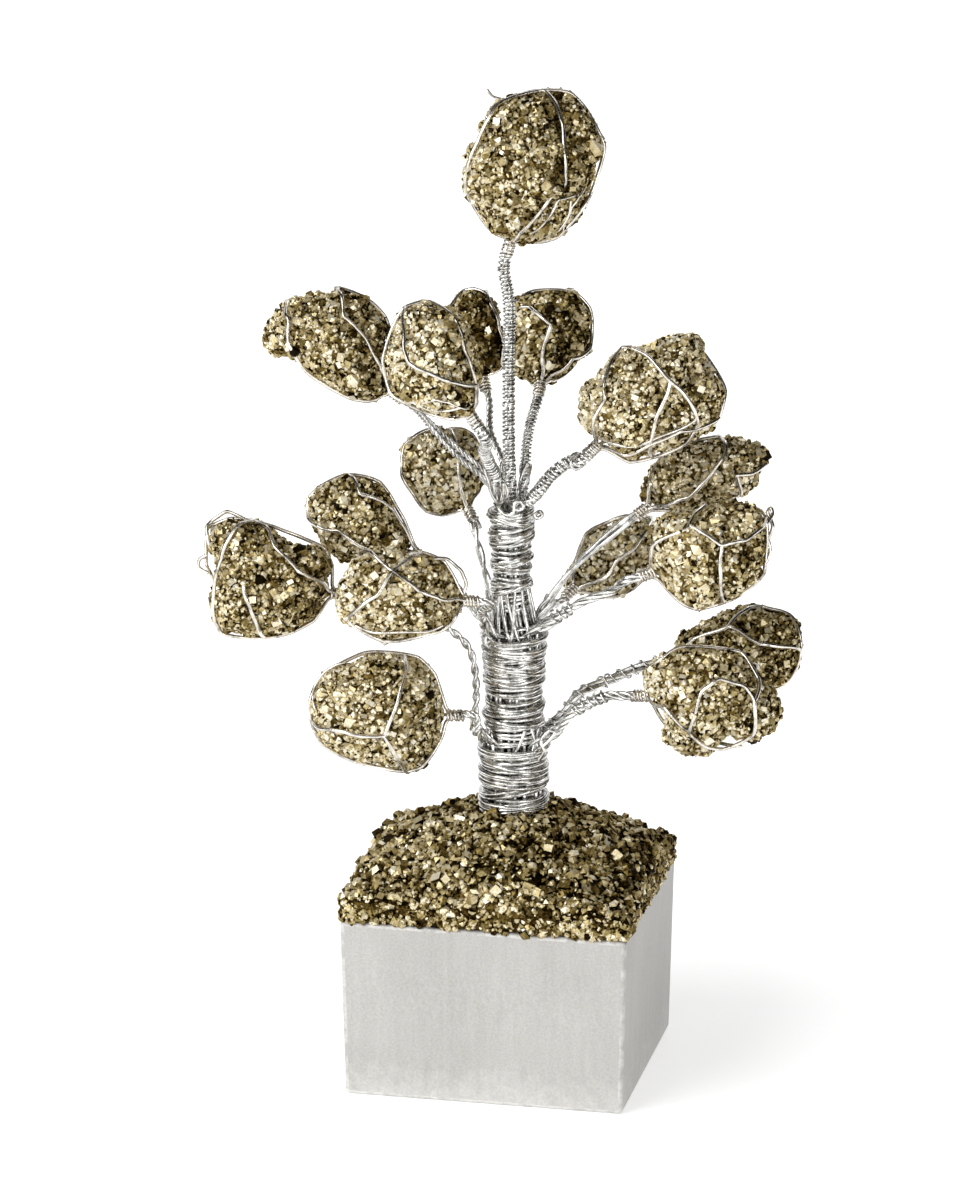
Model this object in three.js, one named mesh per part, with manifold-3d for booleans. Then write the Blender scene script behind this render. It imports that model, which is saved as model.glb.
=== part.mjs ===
// Tree of life in silver craft wire: sixteen rough pyrite nuggets, each held in a cage of wire on a
// twisted wire stem. The stems gather into a trunk bound with three close wraps of wire, and the trunk
// stands in a mound of pyrite chips on a silver block.
//
// Frame: millimetres, +Z up, origin at the centre of the block's underside, block front facing -Y.

import * as THREE from 'three';
import { mergeVertices } from 'three/addons/utils/BufferGeometryUtils.js';
import { ConvexHull } from 'three/addons/math/ConvexHull.js';
import Module from 'manifold-3d';

const wasm = await Module();
wasm.setup();

// ---------------------------------------------------------------- driving dimensions

const CLEARANCE = 0.3;            // gap kept between pieces that bear on each other
const WIRE = 0.9;                 // diameter of the craft wire
const COIL_PITCH = 1.15;          // rise of one turn of a close wrap

const BLOCK_WIDTH = 60;
const BLOCK_DEPTH = 55;
const BLOCK_HEIGHT = 38;
const BLOCK_DRAFT = 0.8;          // each side leans in this much from top to bottom
const BLOCK_EDGE = 1.0;           // radius worn onto the edges

const MOUND_EDGE_HEIGHT = 6;      // depth of chips at the rim of the block
const MOUND_PEAK_HEIGHT = 19.5;   // depth of chips against the trunk
const MOUND_REACH = 33;           // from the trunk to where the heap levels out
const MOUND_OVERHANG = 0.8;       // chips stick out past the block
const CHIP_SIZE = 3.7;            // spacing of the chips
const CHIP_RELIEF = 0.9;          // how far single chips stand proud
const CHIP_STRAY = 0.25;          // how far a chip lies from its even place, as a share of CHIP_SIZE
const MOUND_BULGE = 1.3;          // 1 is a straight slope from trunk to rim, more is a rounder heap
const RIM_RAGGED = 0.03;          // how far in from the overhang the rim's chips may lie
const RIM_LOWEST = 0.5;           // height of the rim's chips, as shares of MOUND_EDGE_HEIGHT
const RIM_HIGHEST = 0.9;

const FOOT_DEPTH = 15;            // trunk foot glued into the block
const LOWER_WRAP_START = 15.5;    // heights on the trunk are above the block's top
const LOWER_WRAP_END = 32;
const LOWER_WRAP_RADIUS = 7.0;
const LOWER_GAP = 3.5;            // bare trunk where the lowest stems leave
const MIDDLE_WRAP_LENGTH = 20;
const MIDDLE_WRAP_RADIUS = 6.1;
const MIDDLE_GAP = 8.5;           // bare trunk where the middle stems leave
const UPPER_WRAP_LENGTH = 18.5;
const UPPER_WRAP_RADIUS = 4.5;    // at its top
const UPPER_WRAP_FOOT = 3.9;      // and at its foot, which is drawn in
const UPPER_SHIFT = -0.6;         // the upper wrap sits a little to the left of the trunk's foot
const TUCK = 2.6;                 // how far a stem's tail runs down inside a wrap
const TOP_TUCK = 5;               // and inside the top of the upper wrap
const TRUNK_PLACE = [0.8, 0.2];   // trunk axis on the block
const CROWN_TURN = 12.1;          // degrees: the crown faces a little to the block's left-hand front
const FACE_UP = 16;               // degrees: the nuggets' fronts look slightly upward

const COLLAR_RADIUS = 1.25;       // wire coil at the neck of a cage
const COLLAR_LENGTH = 2.4;
const COLLAR_STAND = 0.4;         // from the skin that the wires rest on to the coil
const THROAT_DEPTH = 1;           // how far inside the coil the cage's wires meet
const STEM_RUN_IN = 2.5;          // straight run of a stem up to its coil
const CAGE_SLACK = 0.1;           // extra room under a cage wire
const CAGE_STEP = 60;             // most degrees of arc between two bends of a cage wire
const EDGE_ON = 0.05;             // cosine under which a face lies edge-on to a direction
const CAGE_SINK = 0.9;            // a leg that would sink deeper than this gets a bend in its middle
const TWIST_STEPS = 5;            // sections per turn of a twisted stem

// ---------------------------------------------------------------- the sixteen branches
//
// at: nugget centre from the trunk axis, height above the branch's tier.
// outline: the nugget seen from the front, as [angle, millimetres from its centre]. depth: from its
// centre to its front and to its back. lobes: [angle, front, millimetres, spread] raise or sink the
// surface round that direction.
// Directions are [angle, front] in degrees: angle 0 is right, 90 up; front 90 is dead ahead, -90 behind.
// neck: direction in which the stem meets the nugget.
// leaves: compass angle round the trunk where the stem leaves it (270 is the front).
// via: points that the stem passes, measured like at. girth: size against two bare wires.
// cage: wires over the nugget as lists of directions; 'neck' is the coil on the stem.

const BRANCHES = [
  {
    name: 'crown', tier: 'upper', at: [3.5, 0, 71.9], depth: 13.5,
    outline: [
      [0, 12.5], [13, 14.8], [43, 15.2], [65, 16.7], [93, 14.5], [118, 15.1], [143, 13.4], [155, 11.6],
      [166, 13.9], [200, 14.3], [239, 15.9], [262, 16], [289, 15.4], [321, 13.9], [337, 12.4],
    ],
    lobes: [[68, 42, -1.6, 14], [20, 30, 1, 25], [200, 40, 1, 25], [300, 35, 0.8, 20]],
    neck: [254, -16], leaves: 'centre', girth: 1.75, pitch: 13,
    via: [[-1.1, 0, 11.5], [-1.2, 0, 27.5], [-1.2, 0, 43.5]],
    cage: [
      ['neck', [209, 8], [163, 35], [123, 25], [81, 6], [40, 6], [8, 6], [-25, 10], [-60, 12], 'neck'],
      ['neck', [262, 28], [-65, 56], [-30, 52], [20, 58], [58, 42], [81, 6], [88, -45], [260, -75], 'neck'],
      ['neck', [225, -35], [172, -38], [120, -30], [81, 6]],
    ],
  },
  {
    name: 'far_upper_left', tier: 'upper', at: [-37.4, -4, 35.5], depth: 8.6,
    outline: [
      [0, 11.2], [15, 12.2], [30, 12.3], [50, 11.8], [79, 11.4], [91, 10.2], [104, 11.2], [132, 12.1],
      [148, 13.3], [165, 14.2], [178, 13.6], [187, 12], [194, 8.4], [224, 6.8], [252, 7.2], [276, 9],
      [291, 11.3], [308, 14], [319, 15], [331, 12.4],
    ],
    lobes: [[60, 35, 0.8, 25], [300, 30, 0.8, 25]],
    neck: [-37, 0], leaves: 175, girth: 1.3, pitch: 14,
    via: [[-5.4, -1, 6.5], [-11, -2, 11.8], [-17.1, -3, 18.4]],
    cage: [
      ['neck', [-20, 30], [9, 46], [62, 52], [82, 20], [84, -35], [-50, -70], 'neck'],
      [
        'neck', [-68, 8], [247, 26], [190, 42], [150, 36],
        [133, 4], [150, -45], [215, -60], [-60, -40], 'neck',
      ],
      ['neck', [-12, 2], [22, 2], [60, 4], [84, 4]],
    ],
  },
  {
    name: 'upper_left', tier: 'upper', at: [-16.2, -26, 37.9], depth: 9.8,
    outline: [
      [0, 8.7], [21, 9.2], [48, 9.6], [68, 10.7], [97, 11.7], [120, 11.8], [140, 10.2], [180, 9.9],
      [218, 10.7], [252, 10.1], [274, 10.7], [288, 12], [302, 12.6], [316, 11.6], [336, 9.4],
    ],
    lobes: [[110, 35, 0.9, 22], [280, 35, 0.7, 22], [0, 40, -0.8, 20]],
    neck: [-56, -10], leaves: 247, girth: 1.4, pitch: 13,
    via: [[-2.2, -4.5, 4.5], [-5.9, -12, 14.6]],
    cage: [
      ['neck', [-25, 28], [22, 47], [68, 30], [93, 0], [100, -60], [-60, -60], 'neck'],
      ['neck', [-30, 20], [-66, 68], [188, 62], [138, 38], [118, 8], [112, -35]],
      ['neck', [-72, 2], [-96, 8], [213, 4], [178, 0], [125, 2], [93, 0]],
    ],
  },
  {
    name: 'back_left', tier: 'upper', at: [-8.8, 28, 29.3], depth: 8,
    outline: [
      [0, 6.8], [31, 6.4], [50, 7.8], [73, 9], [86, 9.3], [101, 9], [121, 7.6], [150, 7], [180, 6.8],
      [212, 7], [240, 7.8], [262, 8.4], [290, 9], [303, 9.5], [316, 9], [337, 7.1],
    ],
    lobes: [[75, 20, 0.6, 25]],
    neck: [-75, 15], leaves: 103, girth: 1.1, pitch: 13,
    via: [[-2, 7, 7], [-4.8, 14, 12.5]],
    cage: [
      ['neck', [-45, 18], [14, 40], [70, 12], [85, -45], [-85, -60], 'neck'],
      ['neck', [235, 30], [185, 35], [135, 28], [100, 5], [70, 12]],
    ],
  },
  {
    name: 'back_right', tier: 'upper', at: [7.5, 20, 30.8], depth: 8.8,
    outline: [
      [0, 7.9], [18, 8.3], [36, 9.5], [50, 9.7], [62, 10.5], [92, 9.8], [121, 10.7], [134, 10.8],
      [150, 9.4], [180, 8.4], [200, 8.8], [224, 10.1], [252, 10.2], [270, 9.2], [292, 7.7], [316, 7.1],
      [339, 8.3],
    ],
    lobes: [[30, 20, 0.8, 25], [120, 40, -0.8, 18]],
    neck: [258, 28], leaves: 31, girth: 1.15, pitch: 12,
    via: [[2.2, 2.2, 6.5], [2.6, 4.4, 12], [3.6, 7.2, 17]],
    cage: [
      ['neck', [250, 66], [90, 76], [126, 40], [146, 18], [150, -40], [230, -50], 'neck'],
      ['neck', [-45, 42], [-10, 8], [25, 0], [63, 8], [113, 6], [146, 18]],
      ['neck', [-60, -10], [-20, -45], [63, -40], [63, 8]],
    ],
  },
  {
    name: 'upper_right', tier: 'upper', at: [27.7, -10, 26.3], depth: 12,
    outline: [
      [3, 14.8], [17, 13.7], [30, 13], [46, 15], [56, 15.3], [72, 12.6], [92, 10.4], [110, 10.1],
      [130, 11.2], [162, 11.8], [174, 14.2], [195, 15.3], [209, 15.1], [222, 13.5], [250, 13.7],
      [272, 12], [292, 11.4], [312, 11.9], [334, 14.4],
    ],
    lobes: [[120, 30, 1.2, 22], [320, 38, -1.6, 14], [230, 35, 1, 22]],
    neck: [222, 0], leaves: 319, girth: 1.55, pitch: 9,
    via: [[3.8, -3, 3.1], [8.3, -5.4, 9.3], [12.6, -7, 12.5]],
    cage: [
      ['neck', [185, 45], [136, 28], [122, 20], [71, 65], [-3, 60], [-32, 34], [-60, 10], [-92, 2], 'neck'],
      [
        'neck', [236, 20], [-92, 42], [-50, 42], [-20, 6],
        [10, 2], [45, -20], [90, -45], [230, -60], 'neck',
      ],
      [[42, 68], [-82, 67], [-95, 42], [-90, 8], [-88, -40], [222, -45]],
    ],
  },
  {
    name: 'left_front', tier: 'middle', at: [-23.2, -18, 13.8], depth: 9.5,
    outline: [
      [0, 12], [16, 11.3], [38, 10.9], [58, 9.6], [76, 7.9], [92, 9.2], [122, 11.1], [145, 11.9],
      [175, 12.4], [192, 13.2], [203, 12.6], [236, 10.2], [253, 10], [272, 8.8], [306, 9.1], [322, 11.5],
      [340, 12.8],
    ],
    lobes: [[150, 35, 0.9, 25], [240, 40, -0.7, 18], [300, 30, 0.7, 20]],
    neck: [-5, 0], leaves: 228, girth: 1.3, pitch: 13,
    via: [[-4.6, -5.6, 2], [-6.8, -9.8, 7.1]],
    cage: [
      ['neck', [-6, 40], [13, 66], [112, 55], [128, 12], [150, -45], [200, -75], [-20, -50], 'neck'],
      ['neck', [-20, 12], [-60, 12], [-108, 6], [207, 12], [180, 64], [79, 42], [63, 6], [20, 3], 'neck'],
      [[66, 6], [80, -40], [150, -70], [230, -40], [-105, 6]],
    ],
  },
  {
    name: 'left_high', tier: 'middle', at: [-32.5, 11, 21.8], depth: 8.4,
    outline: [
      [0, 7.9], [35, 7.9], [57, 8.4], [80, 8.4], [105, 8.8], [143, 9.8], [161, 10.6], [181, 9.8],
      [215, 9.1], [232, 8.6], [249, 9.7], [275, 9.2], [305, 10.5], [322, 12.6], [333, 13], [349, 9.4],
    ],
    lobes: [[120, 30, 0.6, 25]],
    neck: [-31, 0], leaves: 180, girth: 1.15, pitch: 13,
    via: [[-7, 1, 4], [-11, 4, 7.9], [-15.2, 6, 13.1]],
    cage: [
      ['neck', [-55, 32], [219, 60], [181, 4], [170, -45], [60, -70], [-40, -40], 'neck'],
      ['neck', [13, 30], [80, 56], [100, 6], [110, -45], [230, -55], [-70, -30], 'neck'],
      ['neck', [-5, 0], [40, 0], [100, 4], [150, 6], [181, 4]],
    ],
  },
  {
    name: 'left_back', tier: 'middle', at: [-14.4, 23.4, 28.7], depth: 8.4,
    outline: [
      [0, 7.8], [26, 8.6], [51, 9], [68, 9], [92, 8.6], [118, 9], [140, 9.9], [152, 9.7], [170, 8.3],
      [190, 8.7], [224, 8.6], [248, 9.4], [281, 9.7], [297, 9.3], [332, 8.2],
    ],
    lobes: [[200, 30, 0.6, 25], [80, 30, -0.7, 18]],
    neck: [-60, 22], leaves: 122, girth: 1.1, pitch: 13,
    via: [[-4.6, 5.4, 6.5], [-6.6, 8, 13.5], [-8.4, 12, 20.5]],
    cage: [
      ['neck', [-96, 6], [206, 20], [148, 16], [95, 8], [85, -45], [-70, -50], 'neck'],
      ['neck', [-50, 55], [30, 70], [82, 12], [40, -10], [-10, -20], 'neck'],
    ],
  },
  {
    name: 'right_high', tier: 'middle', at: [38.5, 5, 33.8], depth: 7.4,
    outline: [
      [0, 12.2], [10, 13.7], [19, 13.7], [36, 10.5], [51, 8.9], [68, 7], [90, 5.6], [120, 5.2], [150, 6],
      [171, 9.4], [184, 11.3], [195, 13.7], [205, 13.5], [222, 12], [250, 8.8], [272, 7.4], [306, 7.9],
      [328, 9.8], [343, 11.6],
    ],
    lobes: [[250, 30, 0.7, 22], [20, 30, 0.5, 20]],
    neck: [215, 0], leaves: 4, girth: 1.2, pitch: 15,
    via: [[6.6, 0.4, 6.1], [11.5, 1.4, 12.9], [18, 3, 18.9]],
    cage: [
      ['neck', [242, 42], [-6, 74], [37, 50], [63, 8], [70, -45], [190, -70], 'neck'],
      ['neck', [-94, 6], [-40, 12], [-14, 45], [4, 6], [20, -35], [-160, -55], 'neck'],
      ['neck', [196, 22], [168, 10], [120, 6], [63, 8]],
    ],
  },
  {
    name: 'right_front', tier: 'middle', at: [39.9, -14, 21.1], depth: 11,
    outline: [
      [0, 10.8], [22, 11.8], [35, 13.5], [48, 13.5], [75, 11.4], [92, 10], [110, 9.6], [136, 12.3],
      [149, 13.7], [166, 12.2], [186, 12.5], [218, 11], [240, 11.3], [255, 11.2], [276, 9.7], [300, 9.7],
      [338, 11.3],
    ],
    lobes: [[150, 30, 0.8, 25], [280, 35, 0.8, 22], [95, 35, -0.8, 16]],
    neck: [197, 0], leaves: 318, girth: 1.5, pitch: 9,
    via: [[6.6, -5.2, 3.7], [13.5, -8, 9.1], [20, -11, 12.7]],
    cage: [
      ['neck', [170, 30], [133, 52], [97, 15], [95, -45], [200, -70], 'neck'],
      [
        'neck', [239, 5], [-92, 6], [-52, 8], [-20, 6], [8, 8],
        [34, 8], [60, -30], [120, -55], [190, -40], 'neck',
      ],
      [[128, 50], [48, 77], [24, 52], [34, 4]],
      [[48, 76], [-76, 60], [-76, 20], [-84, 4], [-88, -50]],
    ],
  },
  {
    name: 'right_back', tier: 'middle', at: [20.9, 26, 9.8], depth: 7.8,
    outline: [
      [5, 9], [28, 10.8], [48, 10.7], [62, 9.2], [76, 7.2], [92, 6], [119, 5.8], [144, 6.3], [173, 6.6],
      [190, 7.9], [202, 9.6], [213, 12.5], [221, 12.6], [234, 10.8], [250, 9.6], [268, 9.4], [290, 8.6],
      [320, 8], [345, 8.4],
    ],
    lobes: [[130, 20, 0.5, 25]],
    neck: [222, 22], leaves: 52, girth: 1.1, pitch: 13,
    via: [[5.2, 5.4, 2.1], [8.6, 12, 3.1]],
    cage: [
      ['neck', [245, 50], [10, 68], [40, 10], [60, -45], [200, -60], 'neck'],
      ['neck', [165, 30], [110, 20], [60, 20], [40, 10], [0, 0], [-60, 0], 'neck'],
    ],
  },
  {
    name: 'low_left', tier: 'lower', at: [-28.1, -8, 8.8], depth: 11.8,
    outline: [
      [0, 13.7], [35, 14.2], [55, 14.2], [72, 12.9], [86, 11.9], [98, 12.7], [124, 12.2], [150, 13.6],
      [172, 13.9], [192, 13.3], [208, 12.8], [242, 10.8], [264, 10.3], [282, 11.4], [298, 13.3],
      [311, 14.5], [338, 14],
    ],
    lobes: [[150, 30, 0.8, 25], [60, 30, 0.8, 22], [255, 30, -1, 20], [20, 40, -0.7, 16]],
    neck: [-1, 0], leaves: 215, girth: 1.3, pitch: 12,
    via: [[-7.5, -6.6, 4.6]],
    cage: [
      [
        'neck', [-36, 6], [-62, 6], [-105, 4], [215, 3], [185, 4],
        [140, 6], [105, 4], [66, 6], [30, 3], 'neck',
      ],
      [[186, 6], [206, 55], [-72, 68], [-64, 30], [-62, 2], [-70, -50], [-20, -60], [0, -25], 'neck'],
      [[-72, 68], [32, 66], [60, 36], [68, 4], [80, -50], [180, -65], [184, 4]],
    ],
  },
  {
    name: 'low_right_front', tier: 'lower', at: [40.4, -14, 14.5], depth: 10.4,
    outline: [
      [7, 12.6], [19, 9.7], [34, 10.6], [50, 11.2], [68, 10.1], [90, 9.8], [124, 12.1], [142, 13.3],
      [157, 14.4], [170, 13.9], [184, 11.4], [197, 10.4], [223, 13.3], [239, 13.2], [253, 12.7],
      [267, 11.8], [277, 9], [291, 8.8], [305, 10.9], [318, 13.2], [344, 14.9],
    ],
    lobes: [[350, 60, 1, 20], [150, 65, -1.4, 14], [240, 45, -1, 16], [90, 40, 0.6, 20]],
    neck: [180, -14], leaves: 330, girth: 1.35, pitch: 9,
    via: [[8.4, -4.4, 3.6], [12.6, -6.8, 9.2], [19, -9, 13]],
    cage: [
      [
        'neck', [145, 12], [101, 12], [56, 12], [22, 28], [-6, 46],
        [-48, 26], [-78, 10], [234, 44], [192, 34], 'neck',
      ],
      [[236, 42], [152, 76], [78, 70], [20, 56], [-6, 46]],
      ['neck', [175, -50], [60, -65], [40, -20], [30, 14]],
      ['neck', [215, -30], [-90, -45], [-60, 0], [-70, 16]],
    ],
  },
  {
    name: 'low_right_back', tier: 'lower', at: [48, 13, 16.8], depth: 8.8,
    outline: [
      [0, 11.9], [24, 11.8], [36, 11.1], [57, 9.2], [78, 8.5], [92, 8.2], [117, 8.5], [143, 9],
      [159, 11.2], [167, 13], [176, 14.1], [190, 13], [214, 9.6], [240, 8.5], [272, 8.2], [294, 9],
      [310, 10.9], [326, 11.8], [343, 12],
    ],
    lobes: [[30, 30, 0.9, 22], [110, 40, 0.5, 22]],
    neck: [190, 6], leaves: 22, girth: 1.2, pitch: 9,
    via: [[9.2, 3.2, 3.8], [13.4, 5.4, 8.6], [22.1, 9.4, 11.6]],
    cage: [
      ['neck', [160, 40], [132, 56], [10, 72], [-4, 12], [-10, -40], [190, -65], 'neck'],
      ['neck', [215, 8], [-90, 2], [-40, 4], [-4, 12], [34, 6], [67, 6], [111, 48], [132, 56]],
      ['neck', [165, -30], [100, -40], [67, 6]],
    ],
  },
  {
    name: 'far_left', tier: 'lower', at: [-50.2, -2, 35.8], depth: 11.6,
    outline: [
      [0, 11.8], [10, 13], [29, 12.9], [37, 11.4], [43, 9.4], [67, 8.8], [91, 11.1], [106, 12.3],
      [121, 14.7], [140, 16], [150, 14.2], [158, 11.3], [180, 10.9], [197, 12.3], [213, 14.2],
      [228, 14.7], [252, 12.4], [290, 11.7], [318, 12.4], [347, 12.4],
    ],
    lobes: [[140, 30, 0.9, 20], [180, 35, -1.4, 14], [225, 35, 0.8, 22], [70, 30, -1, 18]],
    neck: [-12, 0], leaves: 168, girth: 1.1, pitch: 13,
    via: [[-8, 0.6, 3], [-7.9, 0.4, 13.6], [-9.4, 0, 20.5], [-14.4, -1.6, 25.6], [-23.4, -2.4, 29]],
    cage: [
      ['neck', [-4, 28], [14, 60], [79, 52], [104, 8], [120, -40], [190, -70], 'neck'],
      [[104, 8], [116, 30], [155, 40], [190, 30], [228, 6], [-94, 2], [-48, 6], 'neck'],
      ['neck', [30, 4], [78, 8], [104, 8], [140, 0], [166, 2], [200, -40], [-60, -60], 'neck'],
    ],
  },
];

// ---------------------------------------------------------------- small helpers

const vec = (...n) => new THREE.Vector3(...n);
const rad = THREE.MathUtils.degToRad;

// A repeatable number from 0 to 1 for each whole number.
function scatter(n) {
  const s = Math.sin(n * 127.1 + 311.7) * 43758.5453;
  return s - Math.floor(s);
}

// Unit vector for a direction [angle, front] round a nugget.
function direction([angle, front]) {
  const across = Math.cos(rad(front));
  return vec(across * Math.cos(rad(angle)), -Math.sin(rad(front)), across * Math.sin(rad(angle)));
}

// Closed triangle mesh with shared corners and position only.
function welded(geometry) {
  const bare = geometry.clone();
  for (const name of Object.keys(bare.attributes)) {
    if (name !== 'position') bare.deleteAttribute(name);
  }
  return mergeVertices(bare, 1e-4);
}

function toSolid(geometry) {
  const mesh = welded(geometry);
  const vertProperties = Float32Array.from(mesh.attributes.position.array);
  const triVerts = Uint32Array.from(mesh.index.array);
  return new wasm.Manifold(new wasm.Mesh({ numProp: 3, vertProperties, triVerts }));
}

function fromSolid(solid) {
  const { vertProperties, triVerts } = solid.getMesh();
  const geometry = new THREE.BufferGeometry();
  geometry.setAttribute('position', new THREE.BufferAttribute(vertProperties, 3));
  geometry.setIndex(new THREE.BufferAttribute(triVerts, 1));
  return geometry;
}

const union = (geometries) => fromSolid(geometries.map(toSolid).reduce((sum, next) => sum.add(next)));

// Lathe profiles are drawn as [radius, height]; the lathe's own axis is Y, so the result is stood up.
function lathe(profile, segments) {
  const points = profile.map(([r, z]) => new THREE.Vector2(r, z));
  return new THREE.LatheGeometry(points, segments).rotateX(Math.PI / 2);
}

function cylinderBetween(radius, bottom, top, segments) {
  const post = new THREE.CylinderGeometry(radius, radius, top - bottom, segments).rotateX(Math.PI / 2);
  return post.translate(0, 0, (top + bottom) / 2);
}

// ---------------------------------------------------------------- materials

function material(colour, roughness, metalness) {
  return new THREE.MeshStandardMaterial({ color: colour, roughness, metalness, flatShading: true });
}

const silverWire = () => material(0xc9c9c6, 0.3, 1.0);
const silverBlock = () => material(0xc8c8c4, 0.5, 0.6);
const pyrite = () => material(0xb3a271, 0.38, 0.85);

function piece(name, geometry, look) {
  const mesh = new THREE.Mesh(geometry, look);
  mesh.name = name;
  return mesh;
}

// ---------------------------------------------------------------- block and mound

const bundleFootRadius = LOWER_WRAP_RADIUS - WIRE - CLEARANCE;

// Cast block: square corners with worn edges, sides leaning in towards the floor, bored for the trunk.
function blockGeometry() {
  const w = BLOCK_WIDTH / 2 - BLOCK_EDGE;
  const d = BLOCK_DEPTH / 2 - BLOCK_EDGE;
  const outline = new THREE.Shape();
  outline.moveTo(-w, -d);
  outline.lineTo(w, -d);
  outline.lineTo(w, d);
  outline.lineTo(-w, d);
  outline.closePath();
  const body = new THREE.ExtrudeGeometry(outline, {
    depth: BLOCK_HEIGHT - 2 * BLOCK_EDGE,
    bevelSize: BLOCK_EDGE,
    bevelThickness: BLOCK_EDGE,
    bevelSegments: 3,
    steps: 1,
  });
  body.translate(0, 0, BLOCK_EDGE);
  const corner = body.attributes.position;
  for (let i = 0; i < corner.count; i += 1) {
    const lean = BLOCK_DRAFT * (1 - corner.getZ(i) / BLOCK_HEIGHT);
    corner.setX(i, corner.getX(i) * (1 - lean / (BLOCK_WIDTH / 2)));
    corner.setY(i, corner.getY(i) * (1 - lean / (BLOCK_DEPTH / 2)));
  }
  const bore = cylinderBetween(
    bundleFootRadius + CLEARANCE, BLOCK_HEIGHT - FOOT_DEPTH - CLEARANCE, BLOCK_HEIGHT + 1, 24,
  );
  bore.translate(TRUNK_PLACE[0], TRUNK_PLACE[1], 0);
  return fromSolid(toSolid(body).subtract(toSolid(bore)));
}

// Heap of chips: highest round the trunk, spilling a little over the block's rim.
function moundGeometry() {
  const width = BLOCK_WIDTH + 2 * MOUND_OVERHANG;
  const depth = BLOCK_DEPTH + 2 * MOUND_OVERHANG;
  const across = Math.round(width / CHIP_SIZE);
  const along = Math.round(depth / CHIP_SIZE);
  const heap = welded(new THREE.BoxGeometry(width, depth, 1, across, along, 1));
  const corner = heap.attributes.position;
  for (let i = 0; i < corner.count; i += 1) {
    const x = corner.getX(i);
    const y = corner.getY(i);
    const isTop = corner.getZ(i) > 0;
    const isRim = Math.abs(x) > width / 2 - CLEARANCE || Math.abs(y) > depth / 2 - CLEARANCE;
    const reach = Math.hypot(x - TRUNK_PLACE[0], y - TRUNK_PLACE[1]);
    const fall = Math.min(1, reach / MOUND_REACH) ** MOUND_BULGE;
    const rise = THREE.MathUtils.lerp(MOUND_PEAK_HEIGHT, MOUND_EDGE_HEIGHT, fall);
    if (!isTop && isRim) {
      const inset = 1 - (2 * MOUND_OVERHANG + 1) / width;
      corner.setXYZ(i, x * inset, y * inset, CLEARANCE);
    } else if (!isTop) {
      corner.setXYZ(i, 0, 0, CLEARANCE);
    } else if (isRim) {
      const ragged = 1 - RIM_RAGGED * scatter(3 * i);
      const height = THREE.MathUtils.lerp(RIM_LOWEST, RIM_HIGHEST, scatter(3 * i + 1));
      corner.setXYZ(i, x * ragged, y * ragged, MOUND_EDGE_HEIGHT * height);
    } else {
      const shift = CHIP_SIZE * CHIP_STRAY;
      corner.setX(i, x + shift * (2 * scatter(3 * i) - 1));
      corner.setY(i, y + shift * (2 * scatter(3 * i + 1) - 1));
      corner.setZ(i, rise + CHIP_RELIEF * (2 * scatter(3 * i + 2) - 1));
    }
  }
  const footHole = cylinderBetween(bundleFootRadius + CLEARANCE, -1, LOWER_WRAP_START, 24);
  const wrapHole = cylinderBetween(
    LOWER_WRAP_RADIUS + CLEARANCE, LOWER_WRAP_START - CLEARANCE, MOUND_PEAK_HEIGHT + 5, 24,
  );
  const solidHeap = toSolid(withoutSlivers(welded(heap)));
  const hole = toSolid(footHole).add(toSolid(wrapHole)).translate([TRUNK_PLACE[0], TRUNK_PLACE[1], 0]);
  return fromSolid(solidHeap.subtract(hole));
}

// ---------------------------------------------------------------- trunk

// Heights above the block's top.
const middleStart = LOWER_WRAP_END + LOWER_GAP;
const middleEnd = middleStart + MIDDLE_WRAP_LENGTH;
const upperStart = middleEnd + MIDDLE_GAP;
const upperEnd = upperStart + UPPER_WRAP_LENGTH;

const TIERS = {
  lower: { height: LOWER_WRAP_END, wrap: LOWER_WRAP_RADIUS, next: MIDDLE_WRAP_RADIUS, gap: LOWER_GAP },
  middle: { height: middleEnd, wrap: MIDDLE_WRAP_RADIUS, next: UPPER_WRAP_FOOT, gap: MIDDLE_GAP },
  upper: { height: upperEnd, wrap: UPPER_WRAP_RADIUS },
};

// The close wraps: radius at foot and top, heights of foot and top, shift to the right, and the loop in
// which the wire ends, as [degrees round the wrap, millimetres outside it, millimetres above its top].
const WRAPS = [
  {
    name: 'wrap_lower', foot: LOWER_WRAP_RADIUS, top: LOWER_WRAP_RADIUS,
    start: LOWER_WRAP_START, end: LOWER_WRAP_END, shift: 0,
    loop: [
      [309, -0.3, -1], [308, 0.8, 0.6], [309, 2.5, 1.6],
      [319, 4.2, 4.6], [316, 3.3, 4.9], [307, 2.3, 2.6],
    ],
  },
  {
    name: 'wrap_middle', foot: MIDDLE_WRAP_RADIUS, top: MIDDLE_WRAP_RADIUS,
    start: middleStart, end: middleEnd, shift: 0,
  },
  {
    name: 'wrap_upper', foot: UPPER_WRAP_FOOT, top: UPPER_WRAP_RADIUS,
    start: upperStart, end: upperEnd, shift: UPPER_SHIFT,
    loop: [[337, -0.5, -2], [336, 0.9, -0.8], [343, 2.4, 0], [346, 2.9, -1], [341, 1.6, -1.6]],
  },
];

// Radius at which a stem's tail lies just inside a wrap of that outer radius.
const tailRadius = (wrap) => wrap - WIRE - CLEARANCE - WIRE;
const coreRadius = (wrap) => wrap - WIRE - CLEARANCE;
const neckedRadius = (wrap) => tailRadius(wrap) - WIRE - CLEARANCE;

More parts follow.
